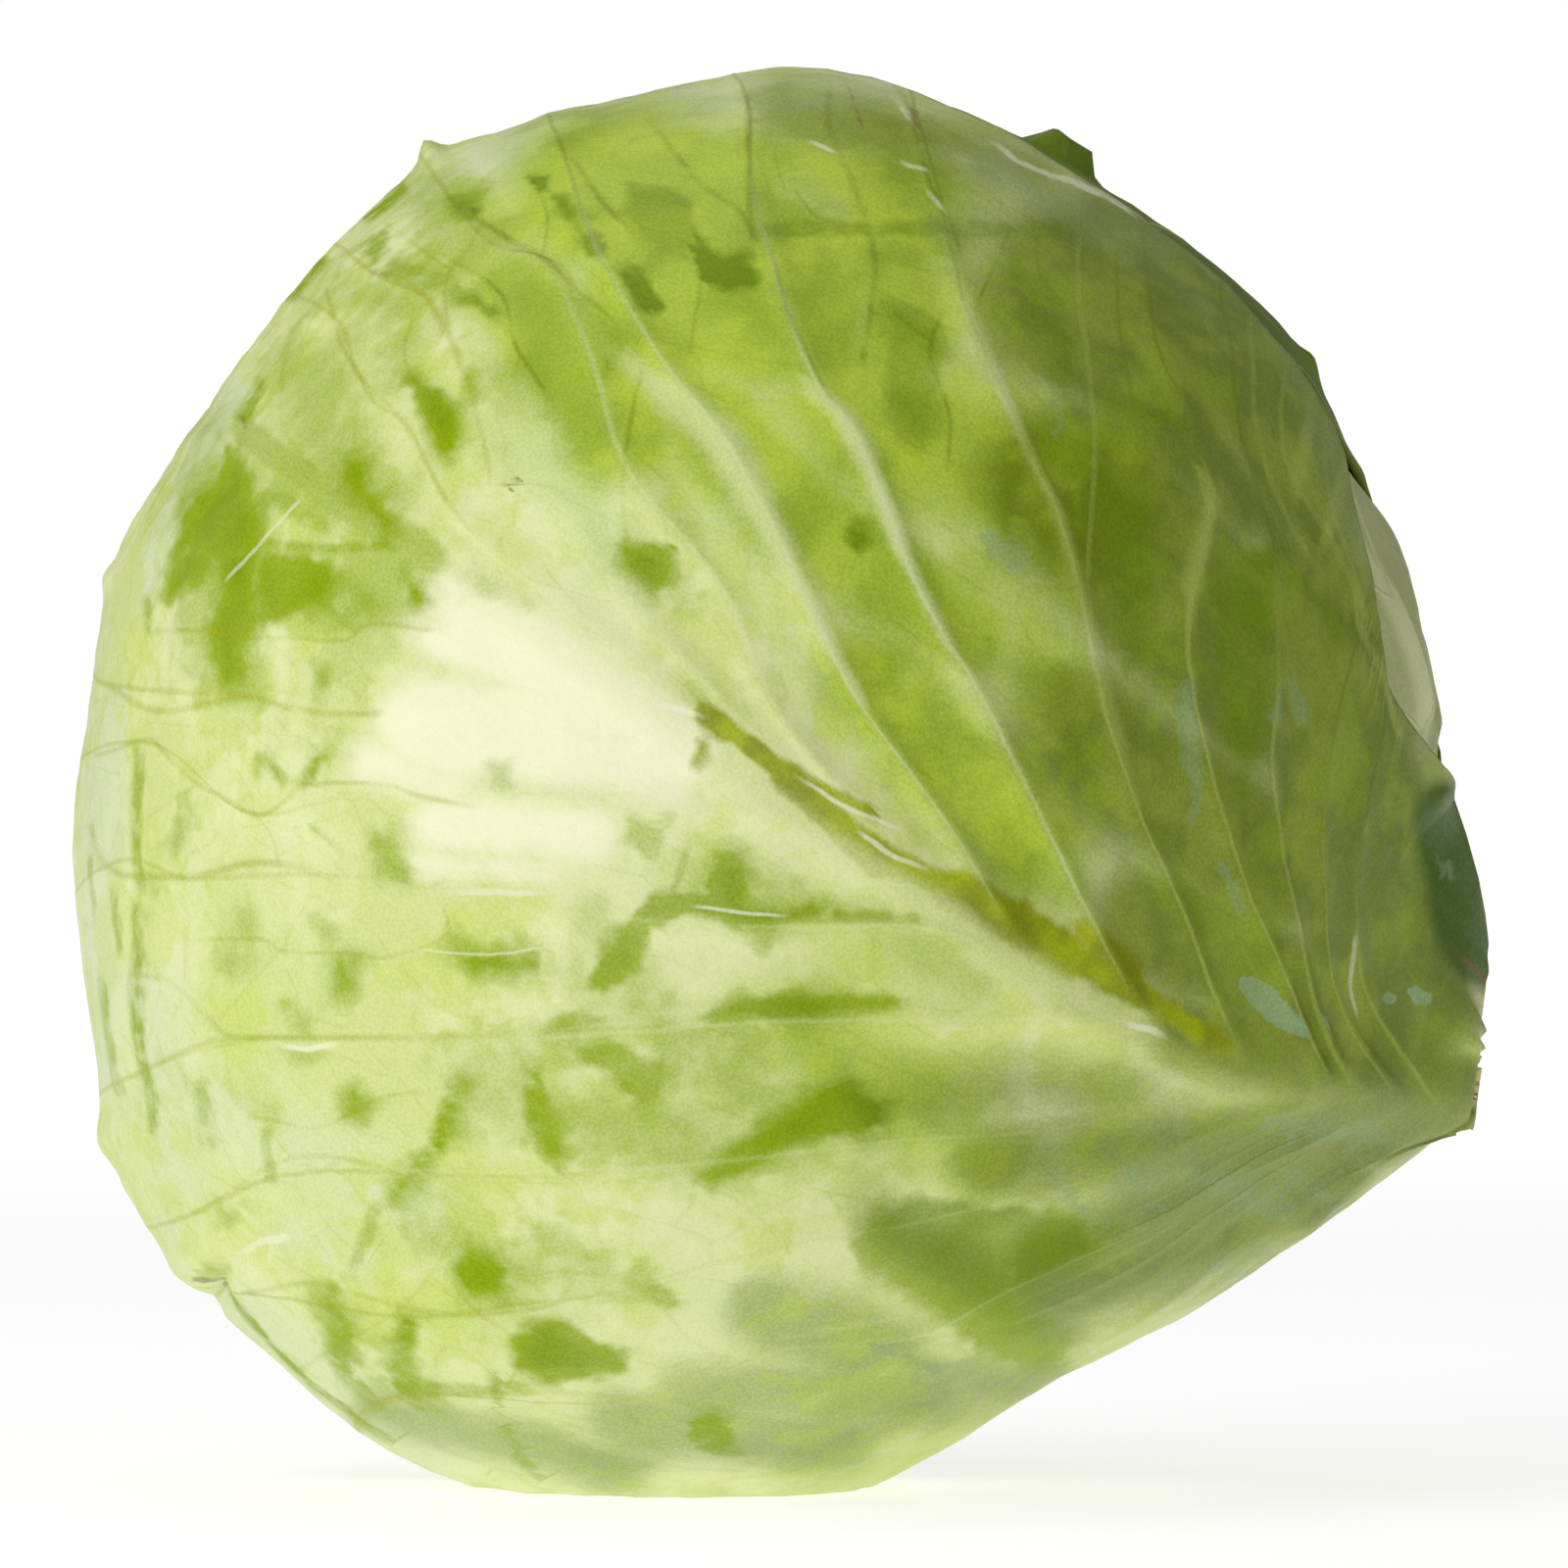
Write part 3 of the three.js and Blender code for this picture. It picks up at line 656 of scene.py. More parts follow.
def frontFolds(pixels, d):
    facing = smoothStep(-d[:, 1], 0.0, 0.15)
    folds = np.zeros(len(d))
    for path, width, height in frontRelief["folds"]:
        folds += height * bell(1 - np.minimum(pathField(pixels, path, width), 1), 1.0)
    folds *= facing
    seen = smoothStep(-d[:, 1], -0.3, -0.1)
    for x, y, width, height in frontRelief["spots"]:
        folds += seen * height * bell(np.hypot(pixels[:, 0] - x, pixels[:, 1] - y), width)
    return folds


frontColour = {
    # glassy patches, by their outlines: strength, points
    "patches": [
        (1.2, [(733, 870), (747, 861), (760, 870), (764, 904), (758, 922), (790, 929), (850, 920),
              (857, 928), (795, 938), (774, 950), (747, 946), (733, 934), (705, 936), (666, 949),
              (652, 984), (628, 1008), (609, 1012), (600, 997), (617, 966), (641, 940), (660, 913),
              (698, 903), (720, 910), (724, 885)]),
        (0.6, [(640, 828), (655, 838), (665, 848), (674, 824), (686, 828), (682, 850), (670, 870),
              (664, 888), (653, 872), (638, 856)]),
        (1.0, [(706, 1042), (745, 1022), (780, 1010), (822, 1012), (850, 1020), (919, 1018),
              (919, 1027), (850, 1031), (826, 1042), (795, 1046), (760, 1038), (709, 1047)]),
        (0.8, [(558, 1043), (590, 1035), (616, 1037), (614, 1048), (560, 1052)]),
        (0.9, [(580, 1064), (640, 1060), (656, 1078), (682, 1076), (684, 1102), (672, 1122),
              (655, 1132), (638, 1118), (620, 1098), (594, 1086)]),
        (1.3, [(631, 556), (690, 552), (688, 582), (672, 602), (668, 616), (652, 608), (640, 590)]),
        (0.8, [(771, 962), (786, 964), (788, 977), (773, 981)]),
        (1.2, [(219, 556), (264, 556), (260, 600), (260, 630), (252, 660), (246, 692), (228, 698),
               (212, 670), (210, 640), (222, 600)]),
        (1.0, [(174, 556), (217, 556), (222, 580), (205, 595), (170, 618), (162, 606)]),
        (1.0, [(258, 566), (300, 562), (335, 570), (350, 590), (335, 616), (300, 628), (268, 644),
               (256, 630)]),
        (1.1, [(415, 588), (432, 600), (440, 612), (432, 624), (419, 614)]),
        (0.8, [(362, 602), (379, 604), (386, 622), (376, 627)]),
        (0.8, [(350, 624), (366, 622), (368, 634), (352, 634)]),
        (0.9, [(319, 678), (331, 688), (338, 708), (324, 698)]),
        (1.0, [(264, 770), (281, 779), (292, 797), (277, 791)]),
        (1.0, [(319, 761), (330, 772), (325, 792), (310, 802), (311, 785)]),
        (0.9, [(186, 813), (194, 845), (185, 870), (175, 861), (183, 835)]),
        (0.9, [(316, 837), (329, 848), (337, 864), (321, 853)]),
        (0.7, [(376, 846), (410, 848), (414, 880), (428, 904), (394, 902), (382, 872)]),
        (0.5, [(496, 780), (522, 776), (522, 802), (503, 808)]),
        (0.9, [(323, 938), (335, 944), (345, 962), (329, 955)]),
        (0.5, [(238, 928), (256, 928), (256, 960), (238, 960)]),
        (0.6, [(223, 973), (257, 978), (252, 998), (228, 992)]),
        (1.0, [(348, 972), (374, 976), (370, 1000), (360, 1022), (340, 1020), (344, 994)]),
        (1.0, [(462, 964), (500, 970), (547, 968), (552, 992), (500, 997), (468, 992)]),
        (0.9, [(296, 1024), (307, 1035), (314, 1056), (302, 1045)]),
        (0.8, [(299, 1072), (328, 1073), (317, 1086), (305, 1081)]),
        (1.2, [(353, 466), (374, 468), (378, 494), (388, 508), (402, 528), (412, 547), (398, 556),
              (386, 532), (364, 512), (349, 490)]),
        (1.3, [(414, 380), (437, 390), (454, 400), (464, 420), (468, 452), (458, 468), (444, 456),
              (434, 431), (422, 406)]),
        (1.2, [(230, 452), (252, 476), (264, 516), (266, 560), (240, 572), (214, 570), (196, 562),
               (174, 562), (184, 530), (198, 503), (220, 486)]),
        (0.9, [(398, 262), (425, 265), (453, 274), (458, 288), (440, 290), (402, 280)]),
        (1.0, [(458, 290), (490, 302), (508, 318), (499, 325), (468, 307)]),
        (0.9, [(474, 380), (494, 384), (490, 407), (476, 407)]),
        (1.3, [(538, 180), (557, 178), (562, 197), (547, 198)]),
        (1.0, [(560, 194), (582, 203), (597, 225), (587, 235), (568, 217)]),
        (1.4, [(463, 206), (484, 210), (488, 228), (473, 224)]),
        (1.1, [(364, 260), (379, 243), (398, 231), (395, 256), (385, 270)]),
        (1.3, [(530, 340), (548, 326), (556, 333), (540, 350)]),
        (0.35, [(522, 302), (545, 288), (582, 298), (624, 328), (624, 440), (600, 474), (562, 438),
               (552, 404), (539, 375), (524, 350)]),
        (1.8, [(632, 280), (649, 277), (663, 294), (678, 313), (664, 322), (648, 308)]),
        (1.6, [(594, 240), (609, 241), (618, 258), (613, 269), (599, 257)]),
        (1.7, [(711, 248), (736, 260), (768, 268), (767, 289), (740, 294), (715, 287)]),
        (0.6, [(640, 188), (702, 196), (716, 240), (702, 262), (658, 254), (638, 222)]),
        (1.0, [(858, 540), (876, 528), (892, 550), (881, 568), (864, 562)]),
        (0.5, [(900, 300), (960, 330), (960, 420), (940, 470), (905, 400)]),
        (0.5, [(1040, 300), (1090, 330), (1096, 420), (1060, 380)]),
        (0.6, [(1120, 470), (1170, 500), (1180, 640), (1150, 700), (1130, 600)]),
        (0.6, [(1240, 560), (1296, 600), (1290, 760), (1262, 820), (1240, 700)]),
        (0.7, [(1264, 560), (1300, 556), (1312, 576), (1284, 586)]),
        (0.8, [(1344, 610), (1366, 620), (1376, 660), (1352, 650)]),
        (1.0, [(710, 1198), (740, 1168), (790, 1138), (830, 1108), (864, 1096), (908, 1128),
              (902, 1152), (850, 1160), (800, 1172), (762, 1204), (718, 1208)]),
        (1.0, [(534, 1078), (547, 1084), (558, 1110), (568, 1150), (583, 1182), (573, 1195),
              (546, 1178), (534, 1130)]),
        (1.1, [(349, 1113), (366, 1110), (382, 1128), (373, 1144), (350, 1140)]),
        (1.0, [(462, 1106), (480, 1110), (468, 1152), (452, 1178), (432, 1202), (409, 1233),
              (394, 1228), (411, 1198), (435, 1164), (451, 1128)]),
        (1.1, [(461, 1280), (500, 1274), (525, 1289), (516, 1320), (480, 1324), (463, 1307)]),
        (1.0, [(324, 1308), (347, 1310), (358, 1350), (369, 1389), (352, 1405), (334, 1370)]),
        (1.0, [(411, 1333), (434, 1343), (422, 1380), (414, 1402), (446, 1422), (442, 1442),
              (400, 1422), (396, 1390)]),
        (1.2, [(522, 1366), (555, 1343), (582, 1350), (606, 1370), (643, 1379), (636, 1400),
              (590, 1408), (555, 1413), (526, 1398)]),
        (1.3, [(703, 1450), (727, 1440), (746, 1455), (748, 1480), (722, 1485), (705, 1471)]),
        (0.8, [(862, 1268), (897, 1238), (940, 1216), (1000, 1226), (1104, 1236), (1114, 1290),
               (1066, 1332), (1088, 1394), (1058, 1400), (1000, 1380), (951, 1337), (888, 1302)]),
        (0.7, [(214, 1288), (226, 1292), (224, 1308), (212, 1306)]),
        (0.6, [(222, 1226), (246, 1232), (244, 1256), (226, 1252)]),
        (0.7, [(640, 1286), (660, 1290), (700, 1330), (690, 1350), (650, 1320)]),
    ],
    # the deeper band along the midrib's upper side
    "band": [
        (722, 730, 740, 744, 17, 1.2), (748, 748, 802, 791, 13, 1.2), (802, 791, 860, 846, 21, 1.3),
        (860, 846, 900, 880, 22, 1.3), (884, 866, 964, 904, 19, 1.2), (964, 904, 1039, 946, 28, 1.4),
        (1030, 935, 1085, 975, 28, 1.4), (1085, 972, 1150, 1005, 22, 1.2),
        (1140, 1000, 1225, 1056, 18, 1.0),
        (836, 803, 890, 830, 11, 0.9), (716, 760, 712, 778, 14, 0.6), (1100, 945, 1150, 985, 18, 0.7),
    ],
    # pale stripes, and a painted highlight along the midrib's underside: x, y, x, y, half width, strength
    "stripesAndHighlight": [
        (640, 368, 685, 408, 16, 0.7), (685, 408, 733, 445, 24, 0.9), (733, 445, 770, 508, 26, 1.0),
        (770, 508, 802, 570, 18, 1.0), (802, 570, 850, 667, 9, 1.2), (850, 667, 880, 718, 8, 0.9),
        (820, 395, 860, 425, 12, 0.7), (860, 425, 884, 470, 15, 1.0), (884, 470, 919, 563, 11, 1.1),
        (919, 563, 967, 660, 8, 1.0), (967, 660, 1010, 730, 8, 0.2), (1016, 745, 1044, 800, 7, 0.6),
        (984, 308, 1015, 387, 7, 0.8), (1015, 387, 1046, 456, 7, 1.1), (1046, 456, 1077, 521, 7, 1.0),
        (1077, 521, 1110, 640, 9, 0.9), (1110, 640, 1140, 760, 12, 0.9),
        (1140, 760, 1158, 822, 10, 0.6),
        (1224, 480, 1234, 515, 8, 0.9), (1234, 515, 1214, 600, 10, 1.2), (1212, 600, 1214, 690, 7, 1.0),
        (1250, 440, 1296, 518, 9, 0.6), (1296, 518, 1331, 570, 8, 0.5), (1176, 330, 1214, 432, 6, 0.5),
        (1290, 470, 1345, 575, 6, 0.5), (1308, 430, 1375, 590, 6, 0.5), (1355, 432, 1395, 610, 6, 0.5),
        (1306, 560, 1304, 650, 8, 0.5), (1382, 622, 1410, 687, 6, 0.9), (1410, 687, 1428, 750, 5, 0.9),
        (636, 598, 690, 660, 20, 0.9), (690, 660, 722, 698, 16, 0.8), (709, 567, 764, 660, 5, 0.8),
        (720, 780, 781, 808, 16, 0.7), (781, 808, 850, 860, 18, 0.7), (850, 860, 953, 922, 16, 0.9),
        (953, 922, 1022, 977, 18, 1.1), (1000, 970, 1060, 1000, 24, 1.1),
        (1050, 990, 1110, 1025, 14, 1.2),
        (1110, 1025, 1170, 1052, 9, 1.2), (1170, 1060, 1270, 1105, 14, 0.6),
        (1060, 1020, 1150, 1062, 12, 0.5),
        (540, 824, 781, 820, 5, 0.5), (430, 912, 560, 910, 7, 0.9), (560, 1056, 705, 1030, 5, 0.7),
        (300, 1066, 345, 1067, 5, 0.9), (590, 1192, 700, 1190, 6, 0.6), (380, 1193, 590, 1194, 5, 0.5),
        (790, 1366, 900, 1345, 6, 0.5), (900, 1345, 990, 1372, 6, 0.4), (800, 1440, 920, 1395, 5, 0.5),
        (860, 1460, 1000, 1405, 5, 0.5), (1180, 1210, 1260, 1150, 6, 0.4),
        (1090, 1300, 1230, 1180, 6, 0.4),
        (1180, 1300, 1280, 1180, 6, 0.4), (985, 1160, 1150, 1100, 6, 0.3),
        (700, 1060, 760, 1066, 12, 0.3),
        (455, 590, 530, 620, 22, 0.4), (800, 190, 860, 215, 24, 0.4), (884, 300, 878, 350, 14, 0.4),
    ],
    "fresh": [
        (250, 440, 330, 500, 18, 1.3), (330, 500, 440, 570, 22, 1.3), (440, 570, 540, 620, 18, 0.7),
        (220, 500, 230, 660, 70, 1.0), (280, 600, 400, 600, 60, 1.0), (300, 380, 380, 500, 60, 0.8),
        (440, 200, 520, 300, 60, 0.8), (340, 680, 380, 640, 50, 0.6), (640, 560, 700, 600, 40, 0.6),
        (1000, 600, 1060, 800, 60, 0.5), (860, 480, 900, 620, 50, 0.5), (720, 560, 740, 640, 30, 0.4),
        (500, 1100, 700, 1160, 80, 0.8), (420, 1250, 600, 1300, 70, 0.6), (200, 440, 300, 440, 60, 0.6),
        (330, 300, 460, 330, 50, 0.6), (230, 720, 330, 760, 44, 0.5), (600, 1000, 760, 1090, 60, 0.7),
        (215, 500, 240, 690, 44, 0.9), (260, 590, 350, 600, 50, 0.8), (250, 650, 330, 700, 40, 0.4),
        (250, 480, 380, 530, 44, 0.7), (330, 400, 380, 440, 40, 0.5), (360, 340, 440, 400, 44, 0.5),
        (400, 280, 500, 320, 34, 0.6), (700, 900, 780, 930, 50, 0.6), (600, 940, 660, 1000, 40, 0.6),
        (560, 1050, 820, 1040, 46, 0.6), (620, 1100, 680, 1160, 50, 0.5),
        (740, 1120, 880, 1150, 50, 0.7),
        (540, 1100, 570, 1190, 34, 0.5), (400, 1130, 470, 1230, 34, 0.4), (270, 780, 330, 780, 40, 0.4),
        (380, 860, 410, 900, 34, 0.5), (460, 970, 560, 990, 40, 0.6), (480, 1300, 620, 1390, 50, 0.5),
        (340, 1320, 430, 1420, 40, 0.5), (700, 1460, 740, 1470, 34, 0.5), (180, 600, 200, 640, 30, 0.6),
        (660, 170, 760, 240, 40, 0.7), (700, 420, 800, 560, 50, 0.6), (1040, 540, 1090, 640, 26, 0.6),
        (1100, 520, 1080, 380, 30, 0.4), (900, 620, 960, 740, 34, 0.5), (800, 990, 900, 1010, 60, 0.4),
        (1010, 880, 1000, 860, 60, 0.3), (900, 1180, 1000, 1200, 60, 0.3),
        (420, 300, 520, 420, 60, 0.4), (330, 360, 430, 420, 60, 0.35), (150, 900, 160, 1100, 24, 0.4),
        (200, 1100, 260, 1140, 50, 0.4), (230, 950, 300, 1000, 40, 0.3),
        (500, 1100, 620, 1140, 60, 0.4),
        (650, 1010, 800, 990, 40, 0.4), (860, 1090, 1000, 1130, 70, 0.5), (860, 640, 900, 720, 24, 0.5),
    ],
    # pale waxy grey-green, with a painted sheen along the top and left edges
    "rimeAndSheen": [
        (240, 400, 130, 620, 22, 1.0), (560, 1330, 640, 1310, 40, 0.4), (104, 620, 100, 1100, 30, 1.0),
        (150, 1000, 190, 1240, 60, 0.7),
        (230, 1130, 420, 1230, 80, 0.7), (250, 1340, 440, 1480, 50, 0.7),
        (300, 1260, 360, 1280, 40, 0.7),
        (440, 190, 560, 130, 34, 0.8),
        (200, 330, 420, 150, 26, 0.7), (500, 110, 900, 92, 26, 0.8), (120, 1120, 200, 1280, 26, 0.5),
    ],
    # a pale cream blade with a painted highlight on the left middle
    "creamAndHighlight": [
        (470, 630, 560, 670, 62, 1.2), (560, 670, 680, 740, 44, 1.2), (440, 740, 680, 760, 62, 1.2),
        (380, 780, 460, 800, 40, 0.8), (450, 840, 600, 850, 44, 0.9), (430, 880, 560, 890, 30, 0.7),
        (640, 800, 690, 810, 30, 0.8), (620, 660, 640, 690, 50, 0.8), (420, 1000, 600, 1010, 34, 0.3),
        (500, 1190, 700, 1180, 34, 0.3), (400, 1250, 420, 1300, 34, 0.4),
        (330, 1290, 420, 1260, 30, 0.4),
    ],
    "mint": [
        (560, 470, 620, 560, 44, 1.0), (500, 440, 560, 480, 40, 0.6), (700, 480, 770, 620, 40, 0.7),
        (740, 540, 800, 660, 40, 0.6), (560, 800, 680, 900, 60, 0.5), (160, 900, 330, 990, 60, 0.5),
        (300, 880, 340, 960, 60, 0.3), (200, 1000, 300, 1160, 60, 0.4), (580, 1300, 800, 1340, 60, 0.5),
        (250, 640, 420, 720, 40, 0.3), (180, 640, 200, 680, 24, 0.5), (700, 430, 760, 480, 30, 0.4),
    ],
    "green": [
        (470, 200, 560, 260, 44, 0.7), (560, 290, 620, 460, 60, 0.8), (640, 420, 700, 540, 34, 0.5),
        (340, 290, 420, 300, 34, 0.4), (420, 350, 460, 430, 34, 0.5), (1000, 780, 1080, 900, 60, 0.6),
        (600, 200, 900, 220, 110, 1.0), (520, 300, 640, 440, 70, 0.9), (660, 300, 900, 330, 110, 1.0),
        (720, 420, 860, 560, 70, 0.9), (880, 420, 1100, 520, 120, 0.9), (850, 560, 1000, 640, 80, 0.8),
        (900, 700, 1050, 860, 90, 0.8), (700, 900, 1000, 990, 60, 0.5),
        (800, 1040, 1000, 1200, 90, 0.6),
        (440, 260, 540, 300, 34, 0.5), (340, 360, 440, 400, 60, 0.35), (250, 480, 360, 540, 50, 0.4),
        (180, 560, 300, 620, 50, 0.4), (740, 1120, 860, 1180, 70, 0.5), (1000, 560, 1080, 700, 70, 0.7),
    ],
    # dark olive on the right side, partly painted shade
    "oliveAndShade": [
        (1100, 300, 1320, 480, 120, 1.1), (1100, 500, 1300, 700, 120, 1.1),
        (1120, 760, 1300, 880, 110, 0.9),
        (1330, 620, 1420, 1000, 110, 1.1), (1020, 1180, 1320, 1150, 70, 0.7),
        (1180, 940, 1420, 1060, 90, 0.9),
        (900, 1250, 1080, 1350, 50, 0.6), (800, 110, 1050, 170, 60, 0.6),
        (950, 1120, 1150, 1110, 60, 0.6),
        (1200, 1050, 1480, 1100, 50, 0.9), (1130, 230, 1340, 400, 60, 0.9),
        (950, 800, 1100, 920, 60, 0.3),
        (1080, 1300, 1340, 1200, 60, 1.0), (1250, 1180, 1450, 1120, 50, 1.0),
        (960, 640, 1050, 780, 46, 0.35), (860, 560, 960, 660, 40, 0.2),
    ],
    "fan": [
        (1270, 330, 1330, 470, 34, 1.0), (1300, 340, 1370, 500, 30, 1.0),
        (1340, 500, 1390, 600, 24, 1.0),
        (1240, 300, 1260, 400, 24, 0.7), (1390, 640, 1430, 760, 24, 0.6),
        (1160, 1280, 1300, 1180, 50, 0.8),
        (1060, 1340, 1200, 1260, 40, 0.6),
    ],
    "flap": [(1474, 830, 1496, 970, 34, 1.2), (1500, 850, 1525, 980, 36, 1.2)],
    "bloom": [
        (1180, 1230, 1400, 1150, 80, 1.0), (1080, 1330, 1280, 1290, 50, 0.8),
        (1000, 900, 1200, 1000, 50, 0.25),
        (1010, 170, 1180, 250, 34, 0.9), (860, 1450, 1060, 1420, 40, 0.7),
        (1300, 300, 1400, 560, 30, 0.9),
        (1200, 290, 1380, 420, 26, 0.6), (1250, 1100, 1500, 1110, 36, 0.5),
        (820, 180, 860, 215, 26, 0.6),
        (960, 230, 1100, 200, 36, 0.6), (520, 150, 600, 200, 30, 0.4), (600, 1490, 860, 1480, 30, 0.6),
        (560, 100, 900, 110, 26, 0.4),
    ],
    # crisp spots of wax, by their outlines
    "waxSpots": [
        (1.0, [(1256, 999), (1275, 994), (1296, 1004), (1310, 1025), (1324, 1040), (1324, 1056),
          (1306, 1052),
               (1286, 1039), (1268, 1018)]),
        (1.0, [(1334, 1028), (1341, 1029), (1348, 1042), (1346, 1049), (1339, 1046)]),
        (0.9, [(1404, 1016), (1413, 1008), (1424, 1014), (1422, 1023), (1409, 1025)]),
        (1.0, [(1429, 1008), (1441, 1003), (1460, 1016), (1454, 1024), (1437, 1025)]),
    ],
    # bluish smears of wax
    "wax": [
        (1010, 545, 1040, 575, 17, 1.0), (1207, 700, 1214, 780, 12, 1.0),
        (1222, 790, 1216, 840, 8, 0.9),
        (1300, 700, 1296, 740, 9, 0.8), (1318, 700, 1330, 735, 13, 1.0),
        (1245, 880, 1268, 935, 8, 0.7), (1466, 872, 1486, 908, 12, 0.7), (1462, 950, 1466, 968, 7, 0.7),
        (1290, 1140, 1380, 1150, 22, 0.7), (1230, 1200, 1300, 1230, 24, 0.7),
        (1240, 1290, 1280, 1310, 14, 0.7),
        (1080, 1210, 1120, 1250, 16, 0.6), (1150, 1190, 1180, 1230, 14, 0.6),
        (890, 1370, 960, 1400, 14, 0.4),
        (1320, 1200, 1360, 1230, 15, 0.6), (1072, 400, 1080, 440, 10, 0.5),
    ],
    "brown": [
        (1492, 978, 1502, 1000, 8, 1.2), (1500, 990, 1520, 1004, 8, 1.0),
        (1502, 1105, 1506, 1125, 6, 0.5),
        (1360, 610, 1372, 640, 6, 0.7), (868, 86, 880, 130, 5, 0.6), (920, 96, 946, 150, 6, 0.5),
        (205, 1300, 222, 1312, 7, 0.8), (380, 277, 395, 285, 7, 0.5), (480, 212, 486, 216, 6, 0.6),
        (246, 425, 250, 436, 5, 0.5), (1272, 300, 1280, 312, 5, 0.6), (1058, 396, 1090, 400, 5, 0.2),
    ],
    # painted shade: these strokes darken the bottom towards the low colour
    "pale": [
        (780, 1340, 900, 1380, 50, 0.9), (700, 1420, 950, 1420, 44, 0.8),
        (930, 1400, 1050, 1410, 24, 0.8),
        (620, 1450, 860, 1470, 44, 0.8), (990, 1390, 1080, 1396, 18, 0.7),
        (380, 1440, 640, 1500, 34, 0.8),
    ],
}
# glassy streaks, with painted shade along two folds at the top, pale scars and single veins: path,
# half width, strength (a vein's from -1, brown and deep, to 1, pale)
frontStreaksAndFoldShade = [
    ([(256, 553), (330, 560), (404, 560)], 6, 0.8), ([(795, 934), (858, 934), (930, 934)], 8, 0.9),
    ([(820, 1022), (920, 1022)], 7, 0.8), ([(140, 766), (139, 830), (142, 904)], 6, 0.9),
    ([(138, 925), (137, 992)], 6, 1.0), ([(139, 1008), (142, 1060), (152, 1112), (156, 1150)], 7, 1.1),
    ([(117, 915), (121, 966)], 5, 0.8), ([(94, 880), (95, 930)], 4, 0.7), ([(150, 615),
      (152, 640)], 7, 0.8),
    ([(266, 392), (246, 425)], 8, 1.1), ([(104, 1006), (112, 1060), (122, 1112)], 6, 0.8),
    # the two paths on the next line are painted shade along folds at the top
    ([(774, 240), (850, 231), (1000, 233), (1160, 226)], 9, 0.7), ([(1131, 404), (1217, 439)], 10, 0.6),
    ([(205, 1110), (212, 1166)], 12, 0.6), ([(504, 1406), (512, 1450), (530, 1486),
      (556, 1513)], 8, 0.8),
    ([(330, 620), (360, 640)], 8, 0.5), ([(262, 500), (330, 540)], 10, 0.5), ([(700, 700),
      (740, 745)], 12, 0.5),
    ([(384, 1235), (374, 1262), (362, 1290)], 9, 0.7), ([(700, 868), (690, 905)], 5, 0.5),
    ([(230, 1320), (262, 1352), (296, 1392), (330, 1424), (400, 1470)], 5, 1.2),
    ([(272, 1158), (278, 1204)], 7, 0.6), ([(376, 222), (411, 194)], 6, 1.3), ([(298, 303),
      (330, 268)], 6, 1.3),
    ([(338, 1382), (368, 1418), (411, 1444)], 11, 0.8), ([(373, 1410), (450, 1420),
      (535, 1416)], 8, 0.6),
]
frontScars = [
    ([(684, 722), (708, 729)], 4, 0.9), ([(716, 925), (750, 930), (791, 933)], 2.5, 0.9),
    ([(826, 801), (860, 822), (908, 842)], 3, 0.9), ([(881, 853), (905, 870), (933, 882)], 3.5, 0.8),
    ([(1021, 150), (1041, 165), (1090, 184), (1127, 200), (1152, 218)], 3.5, 0.8),
    ([(922, 112), (926, 118)], 4, 0.7), ([(836, 148), (846, 152)], 3, 0.8), ([(926, 168),
      (936, 172)], 3, 0.8),
    ([(950, 203), (958, 212)], 3, 0.7), ([(1148, 1040), (1166, 1046)], 5, 0.9),
    ([(235, 587), (266, 552), (304, 518)], 2.5, 0.6), ([(296, 1067), (312, 1070),
      (334, 1066)], 4.5, 0.9),
    ([(480, 910), (545, 912)], 3.5, 0.7), ([(252, 1276), (268, 1268), (286, 1266)], 5, 0.9),
    ([(440, 970), (500, 974), (545, 968)], 2, 0.6), ([(1382, 1030), (1378, 1010),
      (1381, 960)], 2.5, 0.5),
]
